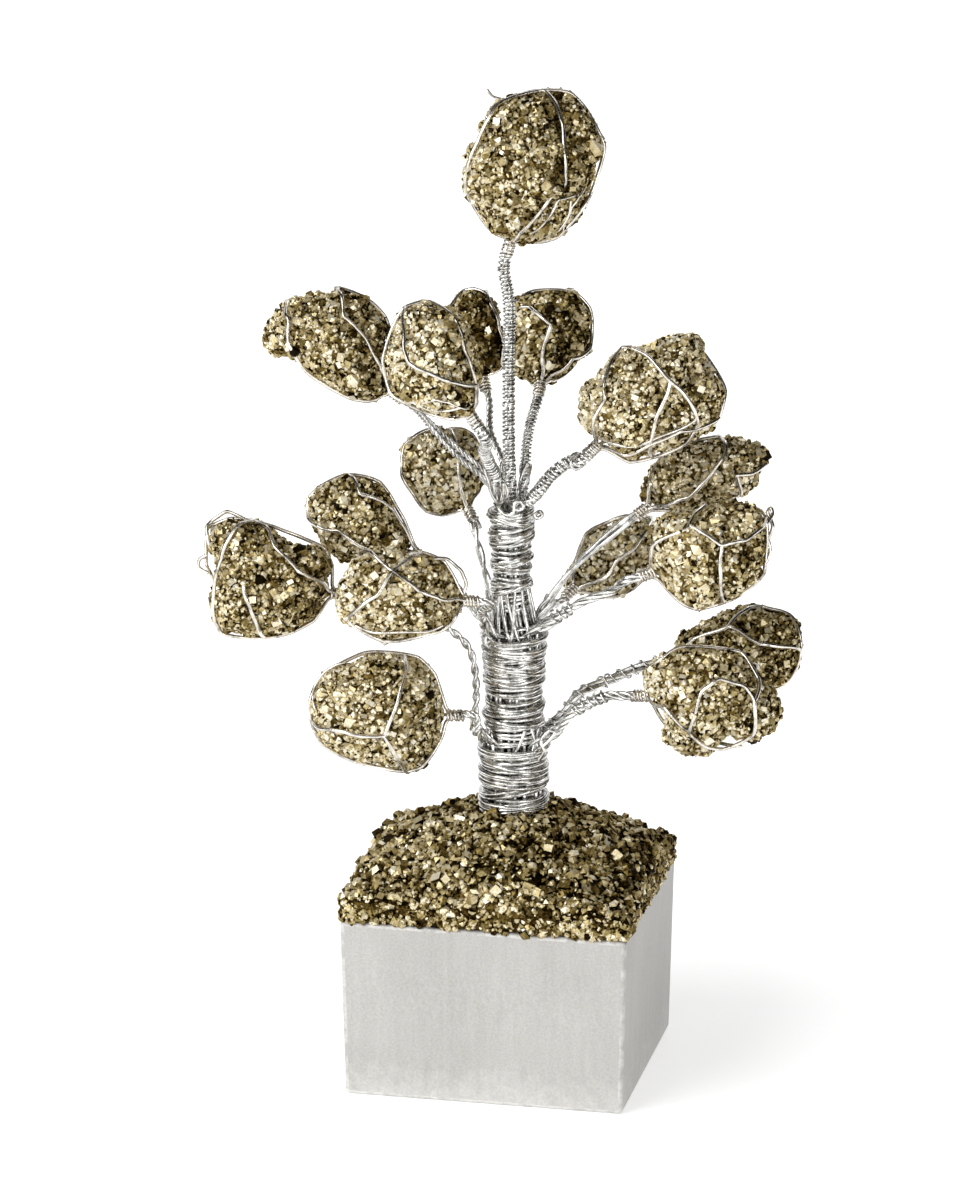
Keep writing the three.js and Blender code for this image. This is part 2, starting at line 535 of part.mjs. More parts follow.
// The gathered stems, as one bundle with a flute between neighbouring wires. It narrows wherever a
// tier of stems leaves it.
function bundleGeometry() {
  const lower = coreRadius(LOWER_WRAP_RADIUS);
  const middle = coreRadius(MIDDLE_WRAP_RADIUS);
  const upper = coreRadius(UPPER_WRAP_FOOT);
  const profile = [
    [0, -FOOT_DEPTH],
    [lower, -FOOT_DEPTH],
    [lower, LOWER_WRAP_END - TUCK - CLEARANCE - 1],
    [neckedRadius(LOWER_WRAP_RADIUS), LOWER_WRAP_END - TUCK - CLEARANCE],
    [neckedRadius(LOWER_WRAP_RADIUS), LOWER_WRAP_END + 0.4],
    [middle, middleStart],
    [middle, middleEnd - TUCK - CLEARANCE - 1],
    [neckedRadius(MIDDLE_WRAP_RADIUS), middleEnd - TUCK - CLEARANCE],
    [neckedRadius(MIDDLE_WRAP_RADIUS), middleEnd + 0.6 * MIDDLE_GAP],
    [upper, upperStart],
    [upper, upperEnd - TOP_TUCK - CLEARANCE],
    [0, upperEnd - TOP_TUCK - CLEARANCE],
  ];
  const flutes = 8;
  const fluteDepth = 0.93;
  const bundle = lathe(profile, 2 * flutes);
  const corner = bundle.attributes.position;
  for (let i = 0; i < corner.count; i += 1) {
    const column = Math.floor(i / profile.length);
    const depth = column % 2 ? fluteDepth : 1;
    const shift = UPPER_SHIFT * THREE.MathUtils.smoothstep(corner.getZ(i), middleEnd, upperStart);
    corner.setX(i, corner.getX(i) * depth + shift);
    corner.setY(i, corner.getY(i) * depth);
  }
  return welded(bundle);
}

// A close wrap of wire as a ribbed sleeve whose ribs climb one pitch in each turn. Its wire ends in a
// small loop that stands off the sleeve.
function wrapGeometry({ foot, top, start, end, loop }) {
  const segments = 10;
  const valleyDepth = 0.32 * WIRE;
  const length = end - start;
  const turns = Math.round(length / COIL_PITCH);
  const pitch = length / turns;
  const outerAt = (z) => THREE.MathUtils.lerp(foot, top, z / length);
  const innerAt = (z) => (outerAt(z) - WIRE) / Math.cos(Math.PI / segments);
  const ribs = 2 * turns + 3;
  const profile = [[innerAt(length), length], [innerAt(0), 0]];
  for (let k = 0; k < ribs; k += 1) profile.push([foot, 0]);
  profile.push([innerAt(length), length]);
  const sleeve = lathe(profile, segments);
  const corner = sleeve.attributes.position;
  for (let i = 0; i < corner.count; i += 1) {
    const row = i % profile.length;
    const column = Math.floor(i / profile.length);
    const k = row - 2;
    if (k < 0 || row === profile.length - 1) continue;
    const height = (k / 2 + column / segments - 1) * pitch;
    const z = THREE.MathUtils.clamp(height, 0, length);
    const isRidge = k % 2 === 1 && height > 0 && height < length;
    const radius = outerAt(z) - (isRidge ? 0 : valleyDepth);
    const turn = Math.atan2(corner.getY(i), corner.getX(i));
    corner.setXYZ(i, radius * Math.cos(turn), radius * Math.sin(turn), z);
  }
  const solid = withoutSlivers(welded(sleeve));
  if (!loop) return solid;
  const stops = loop.map(([turn, out, z]) => (
    vec((top + out) * Math.cos(rad(turn)), (top + out) * Math.sin(rad(turn)), z + length)));
  const path = new THREE.CatmullRomCurve3(stops, false, 'centripetal');
  return union([solid, sweep(wireSection(5), path, 3 * (loop.length - 1))]);
}

// Drops triangles that have collapsed to a line.
function withoutSlivers(geometry) {
  const index = geometry.index.array;
  const kept = [];
  for (let i = 0; i < index.length; i += 3) {
    const [a, b, c] = [index[i], index[i + 1], index[i + 2]];
    if (a !== b && b !== c && c !== a) kept.push(a, b, c);
  }
  geometry.setIndex(kept);
  return geometry;
}

// ---------------------------------------------------------------- nuggets

// Distance from the centre to a closed outline of straight edges between [angle, distance] corners.
function outlineReach(outline, angle) {
  const next = outline.findIndex((corner) => corner[0] > angle);
  const after = next < 0 ? 0 : next;
  const [fromAngle, from] = outline.at(after - 1);
  const [toAngle, to] = outline[after];
  const past = rad(angle - fromAngle);
  const ahead = rad(toAngle - angle);
  return Math.abs((from * to * Math.sin(past + ahead)) / (from * Math.sin(past) + to * Math.sin(ahead)));
}

// A rough lump: one ring of corners lies on the outline, and the rings in front of it and behind it
// close in towards the two ends, with lobes, dents and a crystalline grain.
function nuggetGeometry({ outline, depth, lobes }, seed) {
  const rings = 6;
  const grain = 3.2;              // roughness, as a share of the room between neighbouring corners
  const mostGrain = 0.8;
  const wander = 0.25;            // share of the way to its neighbour that a corner may stray
  const fullness = 2.3;           // 2 is an ellipse from front to back, more is blockier
  const count = outline.length;
  const lump = welded(new THREE.SphereGeometry(1, count, rings));
  const corner = lump.attributes.position;
  const lobeAxes = lobes.map(([angle, front, height, spread]) => (
    { axis: direction([angle, front]), height, spread: rad(spread) }));
  for (let i = 0; i < corner.count; i += 1) {
    const share = Math.atan2(corner.getZ(i), corner.getX(i)) / (2 * Math.PI) + 0.5;
    const column = Math.round(share * count) % count;
    const ring = Math.round((-Math.asin(corner.getY(i)) / Math.PI) * rings);
    let angle = outline[column][0];
    let front = (ring * 180) / rings;
    const onOutline = ring === 0;
    const before = outline[(column + count - 1) % count][0];
    const after = outline[(column + 1) % count][0];
    const room = Math.min((angle - before + 360) % 360, (after - angle + 360) % 360);
    if (!onOutline && Math.abs(front) < 90) {
      angle = (angle + wander * room * (2 * scatter(3 * i + 7 * seed) - 1) + 360) % 360;
      front += wander * (90 / rings) * (2 * scatter(3 * i + 1 + 7 * seed) - 1);
    }
    const toward = direction([angle, front]);
    const across = Math.cos(rad(front)) / outlineReach(outline, angle);
    const ahead = Math.abs(Math.sin(rad(front))) / depth;
    let reach = (across ** fullness + ahead ** fullness) ** (-1 / fullness);
    const rough = Math.min(mostGrain, grain * rad(room) * Math.cos(rad(front)));
    if (!onOutline) reach += rough * (2 * scatter(3 * i + 2 + 7 * seed) - 1);
    for (const lobe of lobeAxes) {
      reach += lobe.height * Math.exp(-((toward.angleTo(lobe.axis) / lobe.spread) ** 2));
    }
    corner.setXYZ(i, ...toward.multiplyScalar(reach).toArray());
  }
  return withoutSlivers(lump);
}

// ---------------------------------------------------------------- wire

// A wire path with one bend at each given point and straight legs between.
class BentWire extends THREE.Curve {
  constructor(points) {
    super();
    this.points = points;
  }

  getPoint(t, target = vec()) {
    const place = t * (this.points.length - 1);
    const i = Math.min(Math.floor(place + 1e-9), this.points.length - 2);
    return target.lerpVectors(this.points[i], this.points[i + 1], place - i);
  }

  getPointAt(u, target) {
    return this.getPoint(u, target);
  }

  getTangentAt(u, target = vec()) {
    const i = Math.round(u * (this.points.length - 1));
    const before = this.points[Math.max(i - 1, 0)];
    const after = this.points[Math.min(i + 1, this.points.length - 1)];
    return target.subVectors(after, before).normalize();
  }
}

// A smooth path whose section turns about it, and swells from its start to its full girth.
class TwistedWires extends THREE.CatmullRomCurve3 {
  constructor(points, turns, girth) {
    super(points, false, 'centripetal');
    this.turns = turns;
    this.girth = girth;
  }

  computeFrenetFrames(steps, closed) {
    const frames = super.computeFrenetFrames(steps, closed);
    const swellAt = Math.min(6, steps - 1);
    for (let i = 0; i <= steps; i += 1) {
      const turn = (2 * Math.PI * this.turns * i) / steps;
      const swell = THREE.MathUtils.lerp(1, this.girth, THREE.MathUtils.smoothstep(i, 2, swellAt));
      frames.normals[i].applyAxisAngle(frames.tangents[i], turn).multiplyScalar(swell);
      frames.binormals[i].applyAxisAngle(frames.tangents[i], turn).multiplyScalar(swell);
    }
    return frames;
  }
}

function wireSection(sides) {
  const outline = new THREE.Shape();
  for (let i = 0; i < sides; i += 1) {
    const turn = (2 * Math.PI * i) / sides;
    const x = (WIRE / 2) * Math.cos(turn);
    const y = (WIRE / 2) * Math.sin(turn);
    if (i) outline.lineTo(x, y);
    else outline.moveTo(x, y);
  }
  outline.closePath();
  return outline;
}

// Two wires side by side.
function pairSection() {
  const outline = new THREE.Shape();
  const r = WIRE / 2;
  outline.moveTo(2 * r, 0);
  outline.lineTo(r, 0.9 * r);
  outline.lineTo(-r, 0.9 * r);
  outline.lineTo(-2 * r, 0);
  outline.lineTo(-r, -0.9 * r);
  outline.lineTo(r, -0.9 * r);
  outline.closePath();
  return outline;
}

function sweep(section, path, steps) {
  return welded(new THREE.ExtrudeGeometry(section, { extrudePath: path, steps, curveSegments: 1 }));
}

// ---------------------------------------------------------------- cages

// Distance from a nugget's centre, in a given direction, to the skin that a taut wire rests on.
function tautSkin(nugget) {
  const corner = nugget.attributes.position;
  const points = [];
  for (let i = 0; i < corner.count; i += 1) points.push(vec().fromBufferAttribute(corner, i));
  const { faces } = new ConvexHull().setFromPoints(points);
  const standOff = WIRE / 2 + CLEARANCE + CAGE_SLACK;
  return (toward) => {
    let reach = Infinity;
    for (const { normal, constant } of faces) {
      const facing = normal.dot(toward);
      if (facing > EDGE_ON) reach = Math.min(reach, (constant + standOff) / facing);
    }
    return reach;
  };
}

// Directions along great circles through the given ones, with more of them where a straight leg of
// wire would cut deep into the skin.
function arcsBetween(stops, skin) {
  const route = [stops[0]];
  const addLeg = (from, to) => {
    const angle = from.angleTo(to);
    const middle = vec().addVectors(from, to).normalize();
    const chord = from.clone().multiplyScalar(skin(from)).lerp(to.clone().multiplyScalar(skin(to)), 0.5);
    const sinks = skin(middle) - chord.length();
    if (angle > rad(CAGE_STEP) || (sinks > CAGE_SINK && angle > rad(CAGE_STEP) / 4)) {
      addLeg(from, middle);
      addLeg(middle, to);
    } else {
      route.push(to);
    }
  };
  for (let n = 1; n < stops.length; n += 1) addLeg(stops[n - 1], stops[n]);
  return route;
}

// Lifts the bends of a wire until its straight legs clear the skin too. Bends at the throat stay.
function liftedClear(points, skin, throat) {
  const rounds = 12;
  const gain = 0.6;
  const lift = (point, lack) => {
    if (point !== throat) point.multiplyScalar(1 + (lack - 1) * gain);
  };
  for (let round = 0; round < rounds; round += 1) {
    for (let i = 1; i < points.length; i += 1) {
      let lack = 1;
      for (let share = 0.1; share < 1; share += 0.1) {
        const between = vec().lerpVectors(points[i - 1], points[i], share);
        const length = between.length();
        lack = Math.max(lack, skin(between.divideScalar(length)) / length);
      }
      lift(points[i - 1], lack);
      lift(points[i], lack);
    }
  }
  return points;
}

function cageGeometry({ neck, cage }, skin) {
  const out = direction(neck);
  const collarStart = skin(out) + COLLAR_STAND;
  const collar = new THREE.CylinderGeometry(COLLAR_RADIUS, COLLAR_RADIUS, COLLAR_LENGTH, 8);
  collar.translate(0, collarStart + COLLAR_LENGTH / 2, 0);
  collar.applyQuaternion(new THREE.Quaternion().setFromUnitVectors(vec(0, 1, 0), out));
  const throat = out.clone().multiplyScalar(collarStart + THROAT_DEPTH);
  const wires = cage.map((stops) => {
    const towards = stops.map((stop) => (stop === 'neck' ? out : direction(stop)));
    const route = arcsBetween(towards, skin);
    const bends = route.map((toward) => toward.clone().multiplyScalar(skin(toward)));
    if (stops[0] === 'neck') bends[0] = throat;
    if (stops.at(-1) === 'neck') bends[bends.length - 1] = throat;
    return sweep(wireSection(4), new BentWire(liftedClear(bends, skin, throat)), bends.length - 1);
  });
  return { geometry: union([collar, ...wires]), stemEnd: collarStart + COLLAR_LENGTH + CLEARANCE };
}

// ---------------------------------------------------------------- stems

// The stem climbs out from under its wrap, past the foot of the next wrap, and on to its nugget.
function stemGeometry({ tier, leaves, via, girth, pitch }, tip, approach) {
  const { height, wrap, next, gap } = TIERS[tier];
  const centred = leaves === 'centre';
  const turn = centred ? 0 : rad(leaves);
  const axis = tier === 'upper' ? UPPER_SHIFT : 0;
  const ray = (radius, z) => vec(axis + radius * Math.cos(turn), radius * Math.sin(turn), height + z);
  const points = [];
  if (tier === 'upper') {
    const radius = centred ? 0 : tailRadius(wrap);
    points.push(ray(radius, -TOP_TUCK), ray(radius, 0.5));
  } else {
    const lip = next + CLEARANCE + girth * WIRE;
    points.push(ray(tailRadius(wrap), -TUCK), ray(tailRadius(wrap), 0.2));
    if (tier === 'lower') points.push(ray(lip, gap - 1));
  }
  for (const [x, y, z] of via) points.push(vec(x, y, height + z));
  points.push(approach, tip);
  const length = new THREE.CatmullRomCurve3(points, false, 'centripetal').getLength();
  const steps = Math.max(4, Math.round((length / pitch) * TWIST_STEPS));
  return sweep(pairSection(), new TwistedWires(points, steps / TWIST_STEPS, girth), steps);
}

// ---------------------------------------------------------------- assembly

const tree = new THREE.Group();
tree.position.set(TRUNK_PLACE[0], TRUNK_PLACE[1], BLOCK_HEIGHT);
tree.rotation.z = rad(CROWN_TURN);

tree.add(piece('trunk_bundle', bundleGeometry(), silverWire()));

for (const wrap of WRAPS) {
  const sleeve = piece(wrap.name, wrapGeometry(wrap), silverWire());
  sleeve.position.set(wrap.shift, 0, wrap.start);
  tree.add(sleeve);
}

BRANCHES.forEach((branch, n) => {
  const lump = nuggetGeometry(branch, n);
  const { geometry: cage, stemEnd } = cageGeometry(branch, tautSkin(lump));
  const holder = new THREE.Group();
  const [x, y, z] = branch.at;
  holder.position.set(x, y, z + TIERS[branch.tier].height);
  holder.rotation.x = -rad(FACE_UP);
  holder.updateMatrix();
  holder.add(piece(`nugget_${branch.name}`, lump, pyrite()));
  holder.add(piece(`cage_${branch.name}`, cage, silverWire()));
  tree.add(holder);
  const out = direction(branch.neck);
  const tip = out.clone().multiplyScalar(stemEnd).applyMatrix4(holder.matrix);
  const approach = out.clone().multiplyScalar(stemEnd + STEM_RUN_IN).applyMatrix4(holder.matrix);
  tree.add(piece(`stem_${branch.name}`, stemGeometry(branch, tip, approach), silverWire()));
});

const object = new THREE.Group();
object.add(piece('base_block', blockGeometry(), silverBlock()));
const mound = piece('chip_mound', moundGeometry(), pyrite());
mound.position.z = BLOCK_HEIGHT;
object.add(mound);
object.add(tree);

export default object;
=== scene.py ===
"""Tree of life: sixteen rough pyrite nuggets in cages of silver craft wire, on twisted stems that gather
into a wire-bound trunk. The trunk stands in a mound of pyrite chips on a silver block.

Metres, +Z up, block front facing -Y. Lengths in the tables are millimetres, in one of two frames:
the tree's (origin on the trunk axis at the block's top, turned with the crown) or a nugget's own."""

import random
from math import ceil, copysign, cos, degrees, pi, radians, sin, sqrt

import bmesh
import bpy
from mathutils import Matrix, Quaternion, Vector, noise
from mathutils.bvhtree import BVHTree


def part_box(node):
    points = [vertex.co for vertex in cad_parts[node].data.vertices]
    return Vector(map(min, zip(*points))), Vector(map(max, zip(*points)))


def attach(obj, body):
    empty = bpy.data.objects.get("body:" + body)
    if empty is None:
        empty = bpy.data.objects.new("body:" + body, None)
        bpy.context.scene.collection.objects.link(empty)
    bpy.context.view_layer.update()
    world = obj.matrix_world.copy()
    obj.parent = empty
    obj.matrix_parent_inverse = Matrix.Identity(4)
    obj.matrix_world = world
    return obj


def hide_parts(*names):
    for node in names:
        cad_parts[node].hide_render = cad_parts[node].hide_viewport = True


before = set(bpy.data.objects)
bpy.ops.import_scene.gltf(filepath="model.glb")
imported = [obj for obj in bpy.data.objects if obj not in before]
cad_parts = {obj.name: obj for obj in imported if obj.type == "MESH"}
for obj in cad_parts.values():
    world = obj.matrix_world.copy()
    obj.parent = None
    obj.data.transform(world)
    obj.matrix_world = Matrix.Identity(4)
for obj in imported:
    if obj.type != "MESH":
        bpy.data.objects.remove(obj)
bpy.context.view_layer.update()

MM = 0.001
WIRE = 0.9                       # craft wire, diameter
FINE_WIRE = 0.8                  # the strands of the twisted stems
BLOCK_HEIGHT = 38.0
TRUNK_PLACE = (0.8, 0.2)
CROWN_TURN = 12.1                # degrees, the crown against the block
FACE_UP = 16.0                   # degrees, the nuggets' fronts look slightly upward
COLLAR_LENGTH = 2.4              # coil at the neck of a cage
CAGE_WIRE = 0.84                 # the cages' wire, drawn a little thinner where it was pulled tight
WIRE_REST = 0.35                 # from a nugget's hull to the middle of a cage wire
COLLAR_RADIUS = 1.1
COLLAR_WIRE = 0.6
UPPER_SHIFT = -0.6               # the upper wrap sits a little to the left of the trunk's foot
UPPER_BEND = (55.5, 64.0)        # heights between which the trunk moves over to the upper wrap
BLOCK_DRAFT = 0.8                # how far each side of the block leans in at the foot
BLOCK_ROUNDING = 0.9
CAMERA_TURN = 12.11              # degrees
CAMERA_DIP = 16.73
LIGHT_AIM = (0.0, 0.0, 0.11)     # metres, the middle of the tree
ROOM_LIGHT = 0.36
WHITE = (1.0, 1.0, 1.0, 1.0)

# The close wraps: (height, outer radius) from foot to top, pitch, shift, and the wire's loose ends,
# measured from the wrap's axis and top.
WRAPS = {
    "wrap_lower": (
        [(15.5, 6.8), (24.0, 6.9), (29.0, 7.1), (32.0, 7.4)], 1.06, 0.0,
        [[(4.2, -5.2, -1), (4.8, -6.2, 0.6), (6, -7.4, 1.6), (8.4, -7.4, 4.6), (7.4, -7.2, 4.9),
          (5.6, -7.4, 2.6), (6.2, -7.3, 0.4), (5.2, -6.4, -1.6)]],
    ),
    "wrap_middle": (
        [(35.5, 6.2), (50.0, 6.1), (52.5, 6.5), (55.5, 6.9)], 0.98, 0.0,
        [[(-5.0, -4.6, -1.6), (-5.9, -4.2, -0.4), (-5.6, -4.4, 0.9), (-4.4, -5.0, 0.2), (-3.6, -5.8, -1.0)]],
    ),
    "wrap_upper": (
        [(64.0, 3.9), (74.0, 4.2), (80.0, 4.45), (82.5, 4.6)], 1.2, UPPER_SHIFT,
        [[(3.7, -1.6, -2), (4.9, -2.2, -0.8), (5.8, -2.2, -0.1), (6.3, -2, -1), (5.2, -2.4, -1.5),
          (4.7, -2.4, -0.7)],
         [(-3.4, -1.6, 1.4), (-2.9, -2.8, 1.2), (-2, -3.9, 0.2), (-0.6, -4.6, -0.4), (0.4, -4.8, 0.6),
          (0.6, -4.8, 2.2), (1.4, -4.8, 2.8), (2.2, -4.7, 2.3), (2.3, -4.5, 1.3), (1.4, -4.5, 0.8),
          (0.7, -4.7, 1.2)]],
    ),
}

# height of the tier, radius at which its stems' tails lie, the wrap above, the bare length below that wrap
TIERS = {
    "lower": (32.0, 4.9, 6.1, 3.5),
    "middle": (55.5, 4.0, 3.9, 8.5),
    "upper": (82.5, 2.4, None, None),
}

# The trunk between and below the wraps. (height, radius) of the gathered wires from foot to top, then
# the stems' tails that show on the bare stretches (foot, top, radius at the foot and at the top, number)
# and the wire slung round them (foot, top, radius, turns).
BUNDLE = [(5.0, 5.5), (28.0, 5.5), (32.0, 4.7), (34.0, 4.7), (38.0, 4.8), (52.0, 4.6), (56.0, 3.8),
          (60.0, 3.4), (64.0, 2.75), (72.0, 2.75), (78.0, 2.6)]
BUNDLE_WIRES = 18
TAILS = [(29.5, 37.5, 6.2, 5.4, 12), (53.0, 66.0, 5.6, 3.5, 20)]
SLUNG = [(32.6, 35.6, 5.4, 3.4), (56.0, 58.0, 4.6, 1.6), (61.5, 63.6, 3.6, 2.2)]

# Crystals and chips by size: number to the square millimetre, sizes, how far they stand out as shares of
# the size, the share of cubes, and how much paler they are.
NUGGET_CRYSTALS = [
    (0.025, (2.4, 3.6), (-0.40, -0.12), 0.0, 0.05),
    (0.05, (1.9, 2.6), (-0.35, -0.08), 0.15, 0.00),
    (0.85, (1.1, 1.7), (-0.15, 0.20), 0.18, 0.00),
    (0.95, (0.6, 1.0), (0.00, 0.45), 0.25, 0.01),
]
CHIPS = [
    (0.02, (2.2, 2.8), (-0.1, 0.2), 0.2, 0.00),
    (0.55, (1.5, 2.4), (-0.1, 0.45), 0.10, 0.00),
    (0.90, (0.8, 1.4), (0.1, 0.8), 0.15, 0.02),
]
CHIPS_TONE = 0.48
CREASE_WIDTH = 0.2               # radians across a deep crease, from its bottom to where it ends
CREASE_DEPTH = 1.8
CUBE_SIDE = 0.86                 # against the crystal's size
GRAIN_RADIUS = 0.54
CLEFT_SHADE = 0.34               # painted shade: how much darker the pyrite is in a cleft
PAINTED_SHADE_ON_RIGHT = 0.13               # painted shade: how much darker it is on the right than in the middle, as on the side turned from the light
PAINTED_GLINT = 0.3                      # painted highlight: how much paler a crystal face is where it glints
CHIP_OVERHANG = 0.5              # how far a chip may stand out over the block's edge

# The sixteen branches. at: nugget centre, measured from the trunk axis at the height of the tier.
# neck and the cage's points are directions (angle, front): angle 0 is right and 90 up, front 90 is
# dead ahead and -90 behind. leaves: compass angle at which the stem leaves the trunk, 270 at the front.
# via: points the stem passes, measured like at. cage: one list of points for each wire.
# loose: (thickness, points) of the finer and the stray wires; a third number in a point is how proud
# of the stone the wire stands there. gully: directions along a deep crease in the stone.
# tone: how pale the pyrite is, lower for a nugget that sits in the shade, which is painted shade. stem:
# strands, wires in each, the length of one twist, their thickness, and the wire bound round them as
# (radius, share of the stem where it starts, where it ends, pitch, thickness).
NECK = "neck"
BRANCHES = {}
BRANCHES["crown"] = dict(
    tier="upper", at=(3.5, 0, 71.9), neck=(254, -16), leaves=None,
    tone=0.48, stem=(1, 3, 12.0, 0.75, (1.12, 0.06, 1.0, 0.86, 0.56)),
    via=[(-1.1, 0, 11.5), (-1.2, 0, 27.5), (-1.2, 0, 43.5)],
    cage=[[NECK, (209, 8), (163, 35), (123, 25), (81, 6), (40, 6), (8, 6), (-25, 10), (-60, 12), NECK],
          [NECK, (262, 28, -0.2), (-65, 56, -0.8), (-30, 52, -1.3), (20, 58, -1.5), (58, 42, -1.2), (81, 6),
           (88, -45), (260, -75), NECK],
          [NECK, (225, -35), (172, -38), (120, -30), (81, 6)]],
    gully=[(70, 12), (43, 48), (10, 57), (-31, 63)],
    loose=[(0.6, [(118, 12, 0), (121, 6, 1), (121, 2, 2.6)]),
           (0.5, [(-38, 40), (-58, 50), (-75, 40), (-92, 25)]),
           (0.5, [(-25, 30), (-50, 35), (-70, 20), (-80, 12)]),
           (0.5, [(-45, 40), (-62, 25), (-66, 8)])],
)
BRANCHES["far_upper_left"] = dict(
    tier="upper", at=(-37.4, -4, 35.5), neck=(-37, 0), leaves=175,
    tone=0.47, stem=(2, 2, 2.6, 0.66, None),
    via=[(-5.4, -1, 6.5), (-11, -2, 11.8), (-17.1, -3, 18.4)],
    cage=[[NECK, (-20, 30), (9, 46), (62, 52), (82, 20), (84, -35), (-50, -70), NECK],
          [NECK, (-68, 8), (247, 26), (190, 42), (150, 36), (133, 4), (150, -45), (215, -60),
           (-60, -40), NECK],
          [NECK, (-12, 2), (22, 2), (60, 4), (84, 4)]],
)
BRANCHES["upper_left"] = dict(
    tier="upper", at=(-16.2, -26, 37.9), neck=(-56, -10), leaves=247,
    tone=0.55, stem=(1, 3, 8.0, 0.75, (1.12, 0.3, 1.0, 0.86, 0.56)),
    via=[(-2.2, -4.5, 4.5), (-5.9, -12, 14.6)],
    cage=[[NECK, (-25, 28), (22, 47), (68, 30), (93, 0), (100, -60), (-60, -60), NECK],
          [NECK, (-30, 20), (-66, 68), (188, 62), (138, 38), (118, 8), (112, -35)],
          [NECK, (-72, 2), (-96, 8), (213, 4), (178, 0), (125, 2), (93, 0)]],
    loose=[(0.5, [(250, 30), (270, 45), (290, 40), (305, 20)]),
           (0.5, [(235, 20), (265, 25), (300, 30)])],
)
BRANCHES["back_left"] = dict(
    tier="upper", at=(-8.8, 28, 29.3), neck=(-75, 15), leaves=103,
    tone=0.25, stem=(1, 3, 4.4, 0.75, None),
    via=[(-2, 7, 7), (-4.8, 14, 12.5)],
    cage=[[NECK, (-45, 18), (14, 40), (70, 12), (85, -45), (-85, -60), NECK],
          [NECK, (235, 30), (185, 35), (135, 28), (100, 5), (70, 12)]],
)
BRANCHES["back_right"] = dict(
    tier="upper", at=(7.5, 20, 30.8), neck=(258, 28), leaves=31,
    tone=0.38, stem=(1, 3, 12.0, 0.62, (0.95, 0.05, 0.9, 0.82, 0.5)),
    via=[(2.2, 2.2, 6.5), (2.6, 4.4, 12), (3.6, 7.2, 17)],
    cage=[[NECK, (250, 66), (90, 76), (126, 40), (146, 18), (150, -40), (230, -50), NECK],
          [NECK, (-45, 42), (-10, 8), (25, 0), (63, 8), (113, 6), (146, 18)],
          [NECK, (-60, -10), (-20, -45), (63, -40), (63, 8)]],
)
BRANCHES["upper_right"] = dict(
    tier="upper", at=(27.7, -10, 26.3), neck=(222, 0), leaves=319,
    tone=0.58, stem=(1, 3, 9.0, 0.75, (1.1, 0.05, 1.0, 0.9, 0.7)),
    via=[(3.8, -3, 3.1), (8.3, -5.4, 9.3), (12.6, -7, 12.5)],
    cage=[[NECK, (185, 45), (136, 28), (122, 20), (71, 65), (-3, 60), (-32, 34), (-60, 10), (-92, 2), NECK],
          [NECK, (236, 20), (-92, 42), (-50, 42), (-20, 6), (10, 2), (45, -20), (90, -45), (230, -60), NECK],
          [(42, 68), (-82, 67), (-95, 42), (-90, 8), (-88, -40), (222, -45)]],
    loose=[(0.6, [(215, 20), (250, 40), (285, 48), (330, 40)])],
)
BRANCHES["left_front"] = dict(
    tier="middle", at=(-23.2, -18, 13.8), neck=(-5, 0), leaves=228,
    tone=0.61, stem=(1, 3, 5.0, 0.85, None),
    via=[(-4.6, -5.6, 2), (-6.8, -9.8, 7.1)],
    cage=[[NECK, (-6, 40), (13, 66), (112, 55), (128, 12), (150, -45), (200, -75), (-20, -50), NECK],
          [NECK, (-20, 12), (-60, 12), (-108, 6), (207, 12), (180, 64), (79, 42), (63, 6), (20, 3), NECK],
          [(66, 6), (80, -40), (150, -70), (230, -40), (-105, 6)]],
    loose=[(0.8, [(48, 20, 0), (38, 8, 1), (22, 2, 1.8), (8, 0, 1.6), NECK]),
           (0.6, [(215, 12), (240, 30), (285, 38), (325, 28)])],
)
BRANCHES["left_high"] = dict(
    tier="middle", at=(-32.5, 11, 21.8), neck=(-31, 0), leaves=180,
    tone=0.46, stem=(1, 3, 5.0, 0.8, None),
    via=[(-7, 1, 4), (-11, 4, 7.9), (-15.2, 6, 13.1)],
    cage=[[NECK, (-55, 32), (219, 60), (181, 4), (170, -45), (60, -70), (-40, -40), NECK],
          [NECK, (13, 30), (80, 56), (100, 6), (110, -45), (230, -55), (-70, -30), NECK],
          [NECK, (-5, 0), (40, 0), (100, 4), (150, 6), (181, 4)]],
)
BRANCHES["left_back"] = dict(
    tier="middle", at=(-14.4, 23.4, 28.7), neck=(-60, 22), leaves=122,
    tone=0.6, stem=(1, 2, 12.0, 0.9, None),
    via=[(-4.6, 5.4, 6.5), (-6.6, 8, 13.5), (-8.4, 12, 20.5)],
    cage=[[NECK, (-96, 6), (206, 20), (148, 16), (95, 8), (85, -45), (-70, -50), NECK],
          [NECK, (-50, 55), (30, 70), (82, 12), (40, -10), (-10, -20), NECK]],
)
BRANCHES["right_high"] = dict(
    tier="middle", at=(38.5, 5, 33.8), neck=(215, 0), leaves=4,
    tone=0.58, stem=(1, 2, 60.0, 1.05, (1.35, 0.12, 0.2, 1.0, 0.6)),
    via=[(6.6, 0.4, 6.1), (11.5, 1.4, 12.9), (18, 3, 18.9)],
    cage=[[NECK, (242, 42), (-6, 74), (37, 50), (63, 8), (70, -45), (190, -70), NECK],
          [NECK, (-94, 6), (-40, 12), (-14, 45), (4, 6), (20, -35), (-160, -55), NECK],
          [NECK, (196, 22), (168, 10), (120, 6), (63, 8)]],
)
